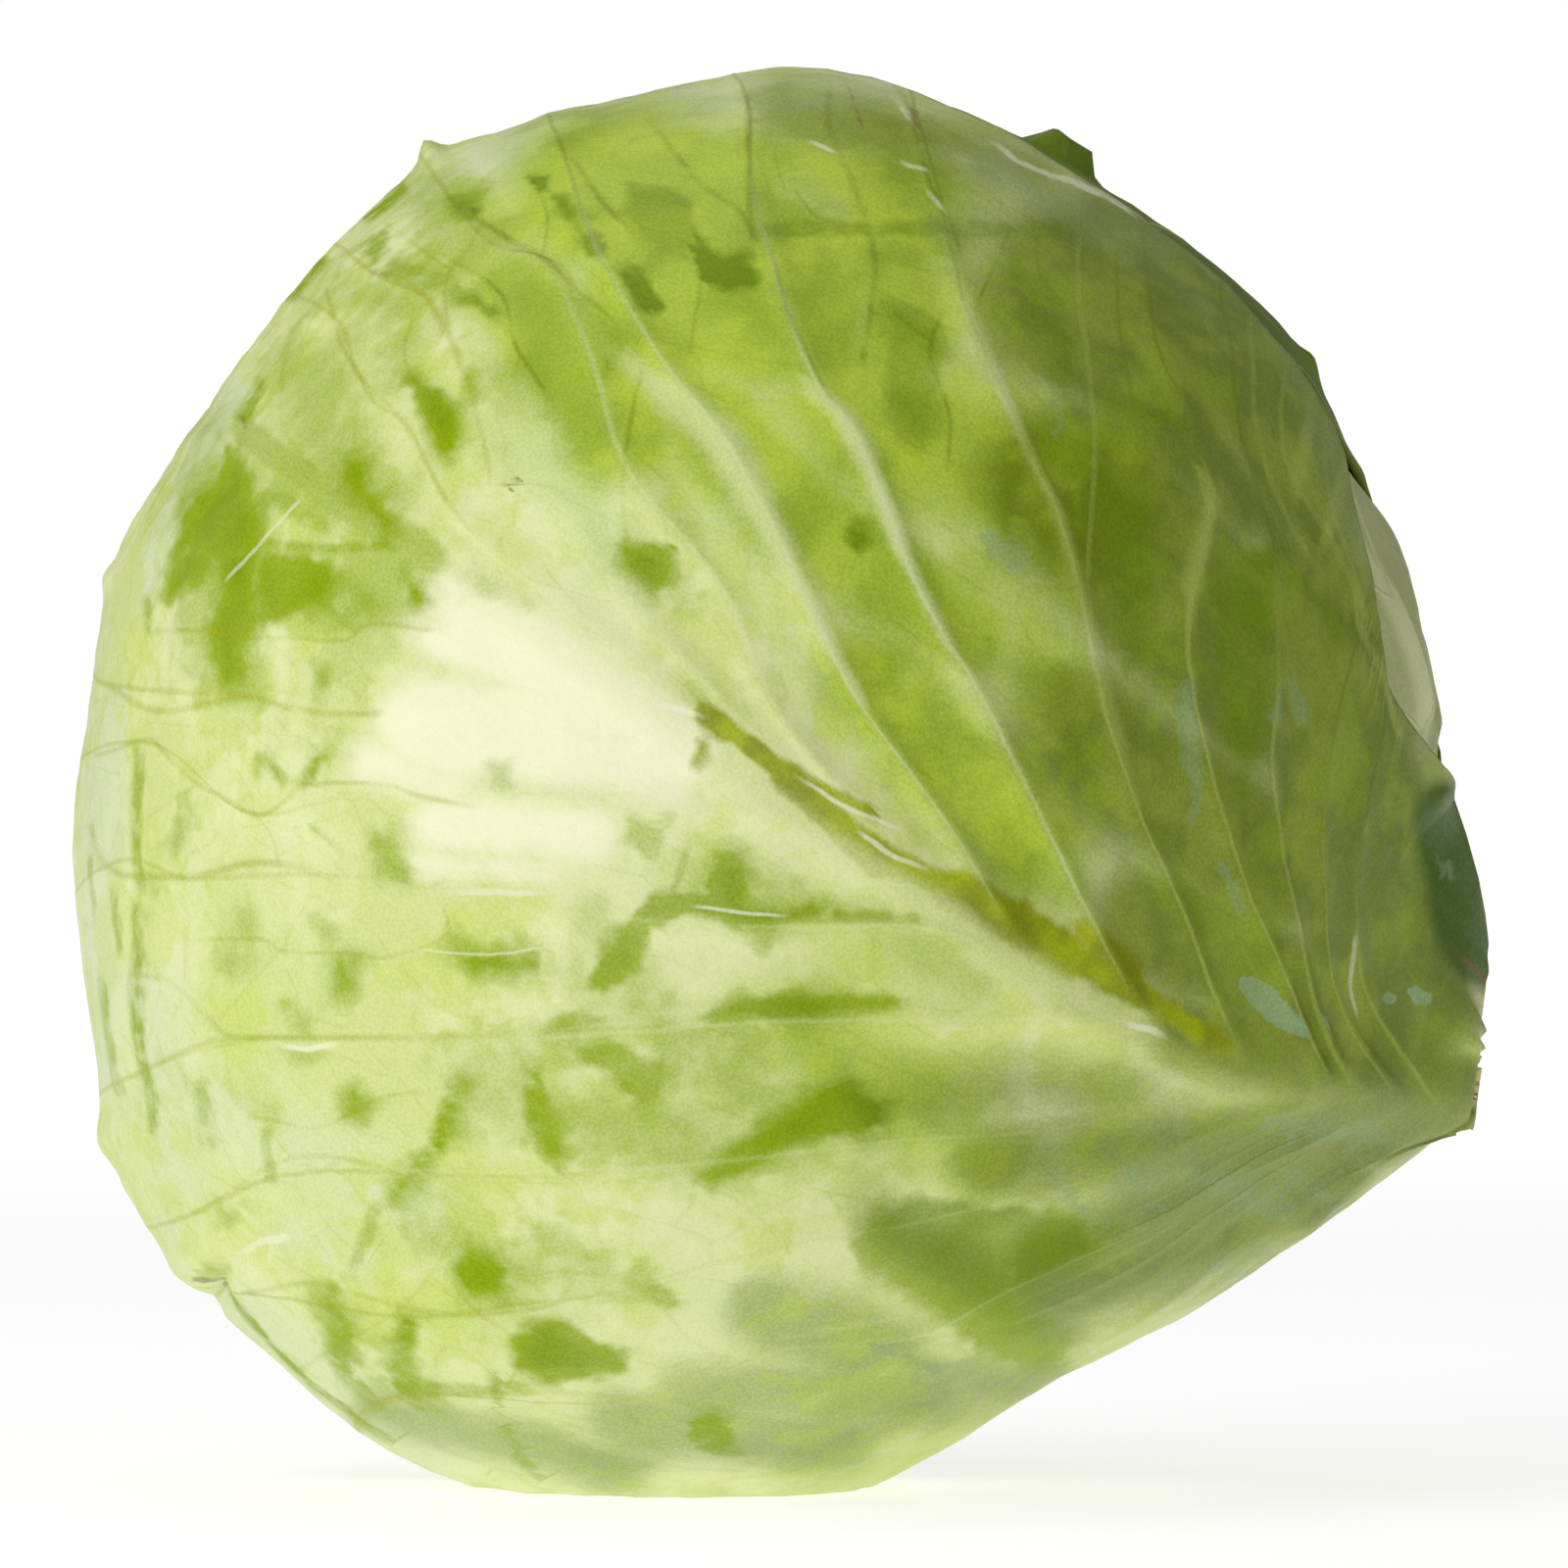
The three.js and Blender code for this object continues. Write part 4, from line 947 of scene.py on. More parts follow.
frontVeins = [
    ([(490, 225), (524, 248), (555, 263), (579, 287), (620, 322)], 4.5, -0.9),
    ([(576, 156), (597, 180), (617, 211), (636, 228)], 4.5, -0.8),
    ([(543, 184), (555, 205), (559, 229), (555, 253)], 3, -0.6),
    ([(490, 232), (476, 256), (457, 280), (454, 308), (459, 335)], 3, -0.5),
    ([(355, 263), (383, 277), (411, 287), (435, 304), (452, 335), (469, 363), (481, 397)], 5, -0.6),
    ([(481, 397), (493, 449), (500, 487)], 4, -0.4),
    ([(469, 270), (493, 284), (514, 304), (521, 329), (526, 353), (541, 377), (559, 404)], 3.5, -0.8),
    ([(335, 301), (343, 329), (349, 353), (366, 380), (383, 411), (414, 432), (435, 470), (452, 504),
      (479, 539)], 3.5, -0.7),
    ([(349, 273), (331, 301), (300, 335), (290, 370), (287, 408), (293, 442), (321, 477)], 3.5, -0.5),
    ([(421, 322), (412, 353), (417, 380), (440, 410)], 3, -0.5),
    ([(249, 432), (273, 456), (307, 477), (342, 497), (376, 521), (404, 539), (440, 570)], 16, -0.25),
    ([(362, 432), (362, 459), (360, 480)], 2.5, -0.4),
    ([(400, 232), (428, 253), (452, 270)], 3, -0.4),
    ([(667, 129), (692, 160), (719, 191), (753, 215), (768, 240)], 4.5, -0.7),
    ([(764, 100), (764, 198), (768, 245)], 4.5, -0.7),
    ([(846, 100), (846, 129), (860, 160), (874, 198), (888, 236), (893, 273), (888, 322),
      (881, 363)], 5, -0.8),
    ([(915, 90), (926, 105), (936, 146), (946, 181), (953, 205), (970, 225), (978, 250)], 4, -0.9),
    ([(709, 239), (716, 280), (709, 322), (705, 346)], 3, -0.7),
    ([(1029, 239), (1012, 277), (1001, 301)], 3, -0.7),
    ([(960, 322), (950, 346), (948, 370), (964, 404), (970, 432), (967, 473)], 3.5, -0.7),
    ([(915, 322), (930, 336), (946, 346)], 3, -0.5),
    ([(791, 273), (802, 318), (822, 363), (843, 404)], 3.5, -0.6),
    ([(654, 384), (643, 432), (636, 501), (640, 560)], 3.5, -0.6),
    ([(815, 198), (833, 222), (867, 229)], 2.5, -0.5),
    ([(810, 132), (790, 150), (800, 190)], 2.5, -0.4),
    ([(1141, 260), (1141, 322), (1148, 370), (1155, 411)], 3, -0.6),
    ([(1059, 253), (1062, 284), (1083, 308)], 2.5, -0.5),
    ([(1103, 246), (1100, 301), (1110, 370), (1117, 466), (1110, 577), (1112, 640)], 4, 0.5),
    ([(1279, 322), (1279, 404), (1286, 456), (1310, 521), (1341, 577)], 4, 0.5),
    ([(1320, 356), (1306, 422), (1320, 490), (1362, 556), (1388, 620)], 4, 0.5),
    ([(1355, 420), (1355, 490), (1375, 570), (1395, 630)], 3.5, 0.5),
    ([(709, 560), (747, 615), (764, 660), (784, 708)], 3, 0.9),
    ([(166, 643), (218, 644), (259, 650), (300, 651), (349, 653), (380, 637), (435, 643)], 3.5, -0.7),
    ([(108, 698), (145, 722), (176, 725), (218, 717), (252, 711), (293, 722), (342, 729),
      (383, 729)], 5, -0.7),
    ([(104, 770), (149, 755), (161, 760), (194, 794), (232, 815), (264, 832), (287, 822), (314, 801),
      (397, 801), (424, 811), (476, 822)], 3.5, -0.6),
    ([(149, 835), (194, 806)], 3, -0.4),
    ([(264, 832), (275, 850), (285, 880)], 2.5, -0.3),
    ([(94, 846), (108, 880), (132, 894), (200, 894), (252, 882), (293, 882), (335, 894)], 5, -0.7),
    ([(197, 959), (273, 959), (287, 970), (366, 973), (390, 978), (455, 956), (455, 932)], 3, -0.5),
    ([(135, 996), (170, 999), (194, 1018), (225, 1049), (259, 1058), (445, 1056),
      (510, 1056)], 4, -0.6),
    ([(290, 966), (260, 1000), (225, 1040)], 2.5, -0.3),
    ([(145, 1096), (190, 1075), (259, 1060)], 3, -0.4),
    ([(1205, 880), (1262, 960), (1300, 1030)], 3, 0.2),
    ([(205, 1235), (300, 1180), (400, 1192)], 3.5, -0.4),
    ([(262, 1140), (330, 1150), (390, 1120), (520, 1100)], 3, -0.4),
    ([(250, 1318), (330, 1312), (450, 1340), (520, 1330), (600, 1320)], 3.5, -0.6),
    ([(310, 1395), (400, 1340), (440, 1300), (470, 1250)], 3.5, -0.4),
    ([(500, 1500), (505, 1440), (530, 1380), (480, 1330)], 3.5, -0.5),
    ([(450, 1200), (500, 1240), (520, 1290), (600, 1300)], 3, -0.3),
    ([(390, 1430), (520, 1420), (640, 1425)], 3.5, -0.4),
    ([(700, 1200), (760, 1230), (800, 1270)], 3, -0.3),
]


# Paths (points, half width, strength) in groups whose members keep apart, so that the signed
# distance to the nearest one stays smooth beside every path
def lineGroups(paths, apart=54):
    groups = []
    for points, width, strength in paths:
        line = curveAt(points, np.linspace(0, 1, 5 * len(points)))
        for group in groups:
            if all(np.linalg.norm(line[:, None] - other[0][None], axis=2).min() > apart
                   for other in group):
                group.append((line, width, strength))
                break
        else:
            groups.append([(line, width, strength)])
    return groups


frontLines = {"vein": lineGroups(frontVeins), "streak": lineGroups(frontStreaksAndFoldShade),
              "scar": lineGroups(frontScars)}


# Signed distance across the nearest path of a group, in half widths, and its strength there
def lineFields(pixels, group, reach=26):
    nearest = np.full(len(pixels), float(reach))
    across = np.full(len(pixels), float(reach))
    power = np.zeros(len(pixels))
    for line, width, strength in group:
        close = np.all((pixels > line.min(0) - reach) & (pixels < line.max(0) + reach), axis=1)
        place = pixels[close]
        if not len(place):
            continue
        gaps, sides, pasts = [], [], []
        last = len(line) - 2
        for k, (start, end) in enumerate(zip(line, line[1:])):
            way = end - start
            length = max(np.linalg.norm(way), 1e-6)
            off = place - start
            t = off @ way / length ** 2
            gap = np.linalg.norm(off - np.clip(t, 0, 1)[:, None] * way, axis=1)
            side = (way[0] * off[:, 1] - way[1] * off[:, 0]) / length
            past = np.maximum(-t if k == 0 else 0, t - 1 if k == last else 0) * length
            gaps.append(gap)
            sides.append(np.where(past > 0, side, np.copysign(gap, side)))
            pasts.append(np.maximum(past, 0) * np.ones(len(place)))
        pick = np.argmin(gaps, axis=0)
        rows = np.arange(len(place))
        gap, side, past = (np.array(part)[pick, rows] for part in (gaps, sides, pasts))
        closer = gap < nearest[close]
        shown = strength * (1 - smoothStep(gap, 12, 24)) * (1 - smoothStep(past, 0, 12))
        nearest[close] = np.where(closer, gap, nearest[close])
        across[close] = np.where(closer, side / width, across[close])
        power[close] = np.where(closer, shown, power[close])
    return across, power


def frontMarks(pixels, d):
    facing = smoothStep(-d[:, 1], -0.12, 0.02)
    marks = {}
    for kind, groups in frontLines.items():
        for k, group in enumerate(groups):
            across, power = lineFields(pixels, group)
            marks[kind + "Side" + str(k)], marks[kind + "Power" + str(k)] = across, power * facing
    for name in ("band", "wax", "brown"):
        marks[name] = np.maximum(strokeField(pixels, frontColour[name]), -1.0) * facing - (1 - facing)
    for name in ("patches", "waxSpots"):
        inside, power = outlineField(pixels, frontColour[name])
        marks[name + "Inside"] = inside * facing - outlineLimit * (1 - facing)
        marks[name + "Power"] = power
    for name in ("stripesAndHighlight", "creamAndHighlight", "mint", "fresh", "rimeAndSheen", "green", "oliveAndShade", "flap", "bloom", "pale",
                 "fan"):
        soft = np.zeros(len(d))
        for x0, y0, x1, y1, width, strength in frontColour[name]:
            reach = 1 - strokeField(pixels, [(x0, y0, x1, y1, width, 1.0)])
            soft = np.maximum(soft, strength * bell(reach, 1.0))
        marks[name] = soft * facing
    return marks


def paint(red, green, blue):
    # a screen colour from 0 to 255 as the shader's linear colour
    def linear(c):
        c = c / 255
        return c / 12.92 if c <= 0.04045 else ((c + 0.055) / 1.055) ** 2.4
    return (linear(red), linear(green), linear(blue), 1.0)


class Value:
    # a shader socket: arithmetic on it adds Math nodes
    def __init__(self, surface, socket):
        self.surface, self.socket = surface, socket

    def math(self, operation, *others):
        inputs = dict(enumerate((self,) + others))
        return self.surface.node("ShaderNodeMath", {"operation": operation}, inputs)

    def __add__(self, other):
        return self.math("ADD", other)

    def __radd__(self, other):
        return self.math("ADD", other)

    def __sub__(self, other):
        return self.math("SUBTRACT", other)

    def __rsub__(self, other):
        return self.surface.node("ShaderNodeMath", {"operation": "SUBTRACT"}, {0: other, 1: self})

    def __mul__(self, other):
        return self.math("MULTIPLY", other)

    def __rmul__(self, other):
        return self.math("MULTIPLY", other)

    def __abs__(self):
        return self.math("ABSOLUTE")

    def limited(self):
        return self.math("MAXIMUM", 0.0).math("MINIMUM", 1.0)


class Surface:
    def __init__(self, name):
        self.material = bpy.data.materials.new(name)
        self.material.use_nodes = True
        self.tree = self.material.node_tree
        self.tree.nodes.clear()
        self.place = self.node("ShaderNodeTexCoord", output="Object")

    def node(self, kind, settings=None, inputs=None, output=0):
        made = self.tree.nodes.new(kind)
        for key, value in (settings or {}).items():
            setattr(made, key, value)
        for key, value in (inputs or {}).items():
            if isinstance(value, Value):
                self.tree.links.new(value.socket, made.inputs[key])
            else:
                made.inputs[key].default_value = value
        return Value(self, made.outputs[output]) if made.outputs else made

    def read(self, name):
        return self.node("ShaderNodeAttribute", {"attribute_name": name}, output="Fac")

    def readVector(self, name):
        return self.node("ShaderNodeAttribute", {"attribute_name": name}, output="Vector")

    def ramp(self, value, low, high, start=0.0, end=1.0):
        return self.node("ShaderNodeMapRange", {"interpolation_type": "SMOOTHSTEP"},
                         {0: value, 1: low, 2: high, 3: start, 4: end})

    def noiseColour(self, scale, detail):
        return self.node("ShaderNodeTexNoise", None,
                         {"Vector": self.place, "Scale": scale, "Detail": detail}, output="Color")

    def noise(self, scale, detail=2.0, rough=0.55):
        return self.node("ShaderNodeTexNoise", None,
                         {"Vector": self.place, "Scale": scale, "Detail": detail, "Roughness": rough})

    def cells(self, scale, where, random=0.9):
        return self.node("ShaderNodeTexVoronoi",
                         {"voronoi_dimensions": "2D", "feature": "DISTANCE_TO_EDGE"},
                         {"Vector": where, "Scale": scale, "Randomness": random}, output="Distance")

    def mix(self, amount, first, second, blend="MIX"):
        return self.node("ShaderNodeMix", {"data_type": "RGBA", "blend_type": blend},
                         {0: amount, 6: first, 7: second}, output=2)

    def shift(self, where, by, strength):
        # a place moved about by a noise colour, so that straight patterns wander
        moved = self.node("ShaderNodeVectorMath", {"operation": "SUBTRACT"},
                          {0: by, 1: (0.5, 0.5, 0.5)})
        moved = self.node("ShaderNodeVectorMath", {"operation": "SCALE"},
                          {0: moved, "Scale": strength})
        return self.node("ShaderNodeVectorMath", {"operation": "ADD"}, {0: where, 1: moved})

    def stretch(self, where, by):
        return self.node("ShaderNodeVectorMath", {"operation": "MULTIPLY"}, {0: where, 1: by})

    def grained(self, colour, amount):
        grain = self.mix(self.ramp(self.noise(2600.0, 0.0), 0.3, 0.7), palette["grainDark"],
                         palette["grainPale"])
        return self.mix(amount, colour, grain, "OVERLAY")

    def finish(self, colour, rough, height, distance):
        bump = self.node("ShaderNodeBump", None,
                         {"Height": height, "Distance": distance, "Strength": 1.0})
        shader = self.node("ShaderNodeBsdfPrincipled", None, {
            "Base Color": colour, "Roughness": rough, "Normal": bump,
            "Specular IOR Level": waxShine})
        self.node("ShaderNodeOutputMaterial", None, {"Surface": shader})
        return self.material


waxShine = 0.08
leafBump = 0.00035              # metres
palette = {
    # cream: a pale cream with a painted highlight
    "paleLeaf": paint(224, 231, 172), "paleShade": paint(210, 221, 144), "creamAndHighlight": paint(244, 244, 208),
    "mint": paint(202, 220, 148), "leafGreen": paint(172, 196, 46), "leafDeep": paint(146, 172, 24),
    # olive: a dark olive, partly painted shade on the right side
    "oliveAndShade": paint(106, 124, 14), "oliveLight": paint(132, 148, 40), "bloom": paint(144, 156, 104),
    # rime: pale waxy grey-green with a painted sheen
    "rimeAndSheen": paint(213, 222, 180), "patchPale": paint(144, 168, 2), "patchDeep": paint(108, 136, 2),
    "fresh": paint(196, 214, 66),
    "band": paint(166, 180, 4), "bandDeep": paint(134, 142, 6), "rib": paint(196, 210, 120),
    "ribBright": paint(220, 228, 170), "cut": paint(214, 208, 150), "grainDark": paint(90, 110, 30),
    "grainPale": paint(255, 255, 240),
    "ribOlive": paint(172, 186, 92), "vein": paint(164, 168, 16), "veinOlive": paint(110, 116, 6),
    "wax": paint(140, 166, 122), "waxSpot": paint(148, 176, 132), "scar": paint(242, 242, 214),
    "brown": paint(118, 90, 52),
    # low: painted shade along the bottom
    "low": paint(160, 177, 106), "midrib": paint(166, 178, 84), "flap": paint(66, 98, 8),
}


def frontLeafSurface():
    s = Surface("frontLeafSkin")
    wander = s.noiseColour(90.0, 1.0)
    broad = s.noise(28.0, 2.0)
    middling = s.noise(110.0, 2.0)
    small = s.noise(330.0, 1.0)
    fine = s.noise(900.0, 2.0, 0.7)

    # broad colour of the blade, with painted shade on the right side and along the bottom, a painted highlight
    # on the left middle and a painted sheen along the top and left edges
    def zone(name, low=0.2, high=0.8, swing=0.32):
        return s.ramp(s.read(name) + (middling - 0.5) * swing + (broad - 0.5) * swing * 0.6, low, high)
    green, oliveAndShade, creamAndHighlight = zone("green"), zone("oliveAndShade"), zone("creamAndHighlight", 0.25, 0.9, 0.3)
    bloom, low, mint = zone("bloom", 0.25, 0.95), zone("pale"), zone("mint", 0.2, 1.0)
    fan = s.ramp(s.read("fan"), 0.2, 0.8) * s.ramp(s.read("fineRib") + (middling - 0.5) * 0.8, 0.0, 0.9)
    colour = s.mix(s.ramp(broad + (small - 0.5) * 0.3, 0.38, 0.62), palette["paleLeaf"],
                   palette["paleShade"])
    colour = s.mix(mint * 0.7, colour, palette["mint"])
    greens = s.mix(s.ramp(broad + (middling - 0.5) * 0.5, 0.42, 0.62), palette["leafGreen"],
                   palette["leafDeep"])
    # painted sheen along the top and left edges, over a pale waxy grey-green
    colour = s.mix(s.ramp(s.read("rimeAndSheen"), 0.25, 0.95) * 0.8, colour, palette["rimeAndSheen"])
    colour = s.mix(green * 0.92, colour, greens)
    # dark olive on the right side, partly painted shade
    olives = s.mix(s.ramp(middling + (broad - 0.5) * 0.6, 0.4, 0.65), palette["oliveAndShade"], palette["oliveLight"])
    colour = s.mix(oliveAndShade * 0.92, colour, olives)
    # painted shade along the bottom
    colour = s.mix(low * 0.8, colour, palette["low"])
    # painted highlight: cream-white over the left middle, strongest below the midrib
    underMidrib = s.ramp(s.read("midribSide"), -3.0, 1.5, 1.0, 0.25)
    colour = s.mix(creamAndHighlight * underMidrib * 0.95, colour, palette["creamAndHighlight"])

    # glassy darker patches where the leaf clings to the next one
    blotch = s.ramp(s.noise(62.0, 2.0, 0.6) + (small - 0.5) * 0.25, 0.5, 0.62)
    colour = s.mix(blotch * (1 - creamAndHighlight) * 0.35, colour, s.mix(oliveAndShade, palette["fresh"], palette["leafDeep"]))
    fresh = s.ramp(s.read("fresh") + (middling - 0.5) * 0.9 + (small - 0.5) * 0.4, 0.25, 0.95)
    colour = s.mix(fresh * 0.7, colour, s.mix(0.2, palette["patchPale"], palette["paleShade"]))
    edge = (middling - 0.5) * 1.0 + (small - 0.5) * 1.0
    softer = s.ramp(middling + (broad - 0.5) * 0.5, 0.4, 0.65, 7.0, 18.0)
    inside = s.read("patchesInside") + edge * 16.0
    power = s.read("patchesPower")
    patch = s.ramp(inside, 0.0 - softer, softer) * power
    darker = s.ramp(s.read("green") + s.read("oliveAndShade"), 0.3, 0.9)
    patchColour = s.mix(darker, palette["patchPale"], palette["patchDeep"])
    colour = s.mix(patch.limited() * s.ramp(broad, 0.35, 0.65, 0.8, 1.0), colour, patchColour)
    deep = s.ramp(inside, 2.0, 22.0) * s.ramp(power + (middling - 0.5) * 0.8, 0.7, 1.5)
    colour = s.mix(deep * 0.5, colour, palette["patchDeep"])
    # glassy streaks, and painted shade along two folds at the top
    for k in range(len(frontLines["streak"])):
        across = abs(s.read("streakSide" + str(k)) + edge * 1.2)
        streak = s.ramp(across, 0.2, 1.4, 1.0, 0.0) * s.read("streakPower" + str(k))
        colour = s.mix((streak * s.ramp(small, 0.3, 0.6, 0.4, 0.8)).limited(), colour, patchColour)
    band = s.ramp(s.read("band") + edge * 0.6, 0.0, 0.6)
    bands = s.mix(s.ramp(middling, 0.4, 0.6), palette["band"], palette["bandDeep"])
    colour = s.mix(band * 0.95, colour, bands)

    # net of small veins, drawn along the ribs
    outward = s.read("outward")
    onBlade = s.ramp(outward, 0.02, 0.08) * s.ramp(s.read("alongLeaf"), 0.02, 0.06)
    veinPlace = s.shift(s.readVector("veinMap"), wander, 0.5)
    thin = s.ramp(s.cells(1.3, s.stretch(veinPlace, (1.3, 1.0, 1.0))), 0.0, 0.06, 1.0, 0.0) * onBlade
    veinColour = s.mix(s.ramp(s.read("green") + s.read("oliveAndShade"), 0.2, 0.8), palette["vein"],
                       palette["veinOlive"])
    clear = 1 - creamAndHighlight * 0.8
    seen = clear * s.ramp(small, 0.35, 0.6, 0.3, 1.0)
    colour = s.mix(thin * seen * 0.13, colour, veinColour)

    # side ribs: pale near the midrib, thin and brownish towards the edge
    ribSide = abs(s.read("ribSide") + (middling - 0.5) * 1.0)
    wide = s.ramp(ribSide, 0.3, 2.6, 1.0, 0.0)
    line = s.ramp(ribSide, 0.1, 0.7, 1.0, 0.0)
    paleShare = s.read("ribPale") * s.ramp(outward, 0.4, 0.8, 1.0, 0.0)
    colour = s.mix(wide * paleShare * onBlade * 0.3, colour, s.mix(oliveAndShade, palette["rib"], palette["oliveLight"]))
    colour = s.mix(line * paleShare * onBlade * 0.6, colour, s.mix(oliveAndShade, palette["ribBright"],
                                                                   palette["ribOlive"]))
    darkShare = (1 - paleShare) * s.ramp(outward, 0.3, 0.6) * onBlade
    colour = s.mix(line * darkShare * clear * 0.35, colour, veinColour)
    # pale stripes, and a painted highlight along the midrib's underside
    stripesAndHighlight = s.ramp(s.read("stripesAndHighlight") + (small - 0.5) * 0.25, 0.15, 1.05)
    stripeColour = s.mix(oliveAndShade, palette["ribBright"], palette["ribOlive"])
    colour = s.mix(stripesAndHighlight * 0.65, colour, stripeColour)
    for k in range(len(frontLines["vein"])):
        power = s.read("veinPower" + str(k))
        across = abs(s.read("veinSide" + str(k)) + (middling - 0.5) * 0.7)
        soft = s.ramp(across, 0.1, 1.9, 1.0, 0.0)
        trace = s.ramp(across, 0.2, 1.1, 1.0, 0.0)
        deep = (0.0 - power).limited() * s.ramp(middling, 0.38, 0.6, 0.35, 1.0)
        colour = s.mix(soft * deep * 0.22, colour, patchColour)
        colour = s.mix(trace * deep * 0.46, colour, veinColour)
        colour = s.mix(trace * power.limited() * 0.55, colour, stripeColour)

    # midrib
    midribSide = s.read("midribSide")
    taper = s.ramp(s.read("alongLeaf"), 0.0, 0.75, 1.0, 0.2)
    ridge = s.ramp(abs(midribSide + 1.5), 1.0, 7.0, 1.0, 0.0)
    colour = s.mix(ridge * taper * 0.5, colour, palette["midrib"])

    colour = s.mix(fan * 0.4, colour, palette["ribOlive"])

    # waxy bloom, smears, scars and brown edges
    colour = s.mix(bloom * (0.3 + fine * 0.5), colour, palette["bloom"])
    colour = s.mix(s.ramp(s.read("flap"), 0.15, 0.8) * 0.95, colour, palette["flap"])
    waxEdge = (fine - 0.5) * 1.2 + (small - 0.5) * 1.2
    wax = s.ramp(s.read("wax") + waxEdge, 0.1, 0.5)
    colour = s.mix(wax * 0.4, colour, palette["wax"])
    spots = s.ramp(s.read("waxSpotsInside") + (fine - 0.5) * 5.0, 0.0, 2.5) * s.read("waxSpotsPower")
    colour = s.mix(spots * s.ramp(small, 0.3, 0.6, 0.55, 0.8), colour, palette["waxSpot"])
    scars = 0.0
    for k in range(len(frontLines["scar"])):
        across = abs(s.read("scarSide" + str(k)) + (small - 0.5) * 1.4)
        scars = s.ramp(across, 0.3, 1.1, 1.0, 0.0) * s.read("scarPower" + str(k)) + scars
    colour = s.mix((scars * 0.7).limited(), colour, palette["scar"])
    brown = s.ramp(s.read("brown") + (small - 0.5) * 0.9, 0.1, 0.8)
    colour = s.mix(brown * 0.75, colour, palette["brown"])
    colour = s.grained(s.mix(s.read("cutFace") * 0.85, colour, palette["cut"]), 0.09)

    rough = 0.42 + (fine - 0.5) * 0.2 + bloom * 0.12 - wax * 0.12
    height = fine * 0.3 + middling * 0.5 + fan * 0.6
    return s.finish(colour, rough, height, leafBump)


def sideLeafSurface(name, blade, shade, rib, patch, amount):
    s = Surface(name)
    wander = s.noiseColour(90.0, 1.0)
    broad = s.noise(24.0, 2.0)
    middling = s.noise(110.0, 2.0)
    fine = s.noise(900.0, 2.0, 0.7)
    colour = s.mix(s.ramp(broad, 0.35, 0.65), blade, shade)
    blotch = s.ramp(s.noise(52.0, 3.0, 0.6) + (middling - 0.5) * 0.3, 0.52, 0.66)
    colour = s.mix(blotch * amount, colour, patch)
    outward = s.read("outward")
    colour = s.mix(s.ramp(outward, 0.75, 1.0) * 0.35, colour, shade)
    foot = s.ramp(s.read("alongLeaf"), 0.0, 0.35, 1.0, 0.0) * s.ramp(outward, 0.0, 0.7, 1.0, 0.0)
    colour = s.mix(foot * 0.5, colour, rib)
    veinPlace = s.shift(s.readVector("veinMap"), wander, 0.35)
    thin = s.ramp(s.cells(1.5, s.stretch(veinPlace, (1.3, 1.0, 1.0))), 0.0, 0.055, 1.0, 0.0)
    colour = s.mix(thin * 0.2, colour, rib)
    ribSide = abs(s.read("ribSide") + (middling - 0.5) * 1.2)
    onBlade = s.ramp(outward, 0.0, 0.06)
    wide = s.ramp(ribSide, 0.3, 2.4, 1.0, 0.0) * s.ramp(outward, 0.5, 1.0, 1.0, 0.2)
    line = s.ramp(ribSide, 0.1, 0.7, 1.0, 0.0)
    colour = s.mix(wide * onBlade * 0.5, colour, rib)
    colour = s.mix(line * onBlade * 0.5, colour, s.mix(0.5, rib, paint(235, 238, 200)))
    midribSide = abs(s.read("midribSide"))
    ridge = s.ramp(midribSide, 1.5, 6.0, 1.0, 0.0) * s.ramp(s.read("alongLeaf"), 0.2, 1.0, 1.0, 0.3)
    colour = s.mix(ridge * 0.8, colour, s.mix(0.4, rib, paint(228, 232, 190)))
    bloom = s.ramp(s.noise(40.0, 2.0), 0.45, 0.65)
    colour = s.mix(bloom * (0.1 + fine * 0.35), colour, palette["bloom"])
    wax = s.ramp(s.noise(60.0, 2.0, 0.6) + (fine - 0.5) * 0.5, 0.68, 0.76)
    colour = s.mix(wax * 0.35, colour, palette["wax"])
    edgeBrown = s.ramp(outward + (middling - 0.5) * 0.05, 0.985, 1.0)
    colour = s.mix(edgeBrown * 0.35, colour, palette["brown"])
    colour = s.grained(s.mix(s.read("cutFace") * 0.85, colour, palette["cut"]), 0.06)
    rough = 0.42 + (fine - 0.5) * 0.2 + bloom * 0.1 - wax * 0.12
    height = fine * 0.3 + line * 0.4 + middling * 0.5
    return s.finish(colour, rough, height, leafBump)


def heartSurface():
    s = Surface("heartSkin")
    broad, middling, fine = s.noise(30.0, 4.0), s.noise(120.0, 4.0), s.noise(700.0, 3.0)
    colour = s.mix(s.ramp(broad, 0.35, 0.65), paint(212, 216, 150), paint(196, 206, 128))
    vein = s.ramp(s.cells(95.0, s.shift(s.place, s.noiseColour(90.0, 2.0), 0.01)), 0.0, 0.04, 1.0, 0.0)
    colour = s.mix(vein * 0.25, colour, paint(226, 228, 180))
    colour = s.mix(s.ramp(middling, 0.55, 0.75) * 0.3, colour, paint(180, 196, 96))
    rough = 0.38 + (fine - 0.5) * 0.2
    return s.finish(colour, rough, fine * 0.2 + vein * 0.3 + middling * 0.4, 0.0003)


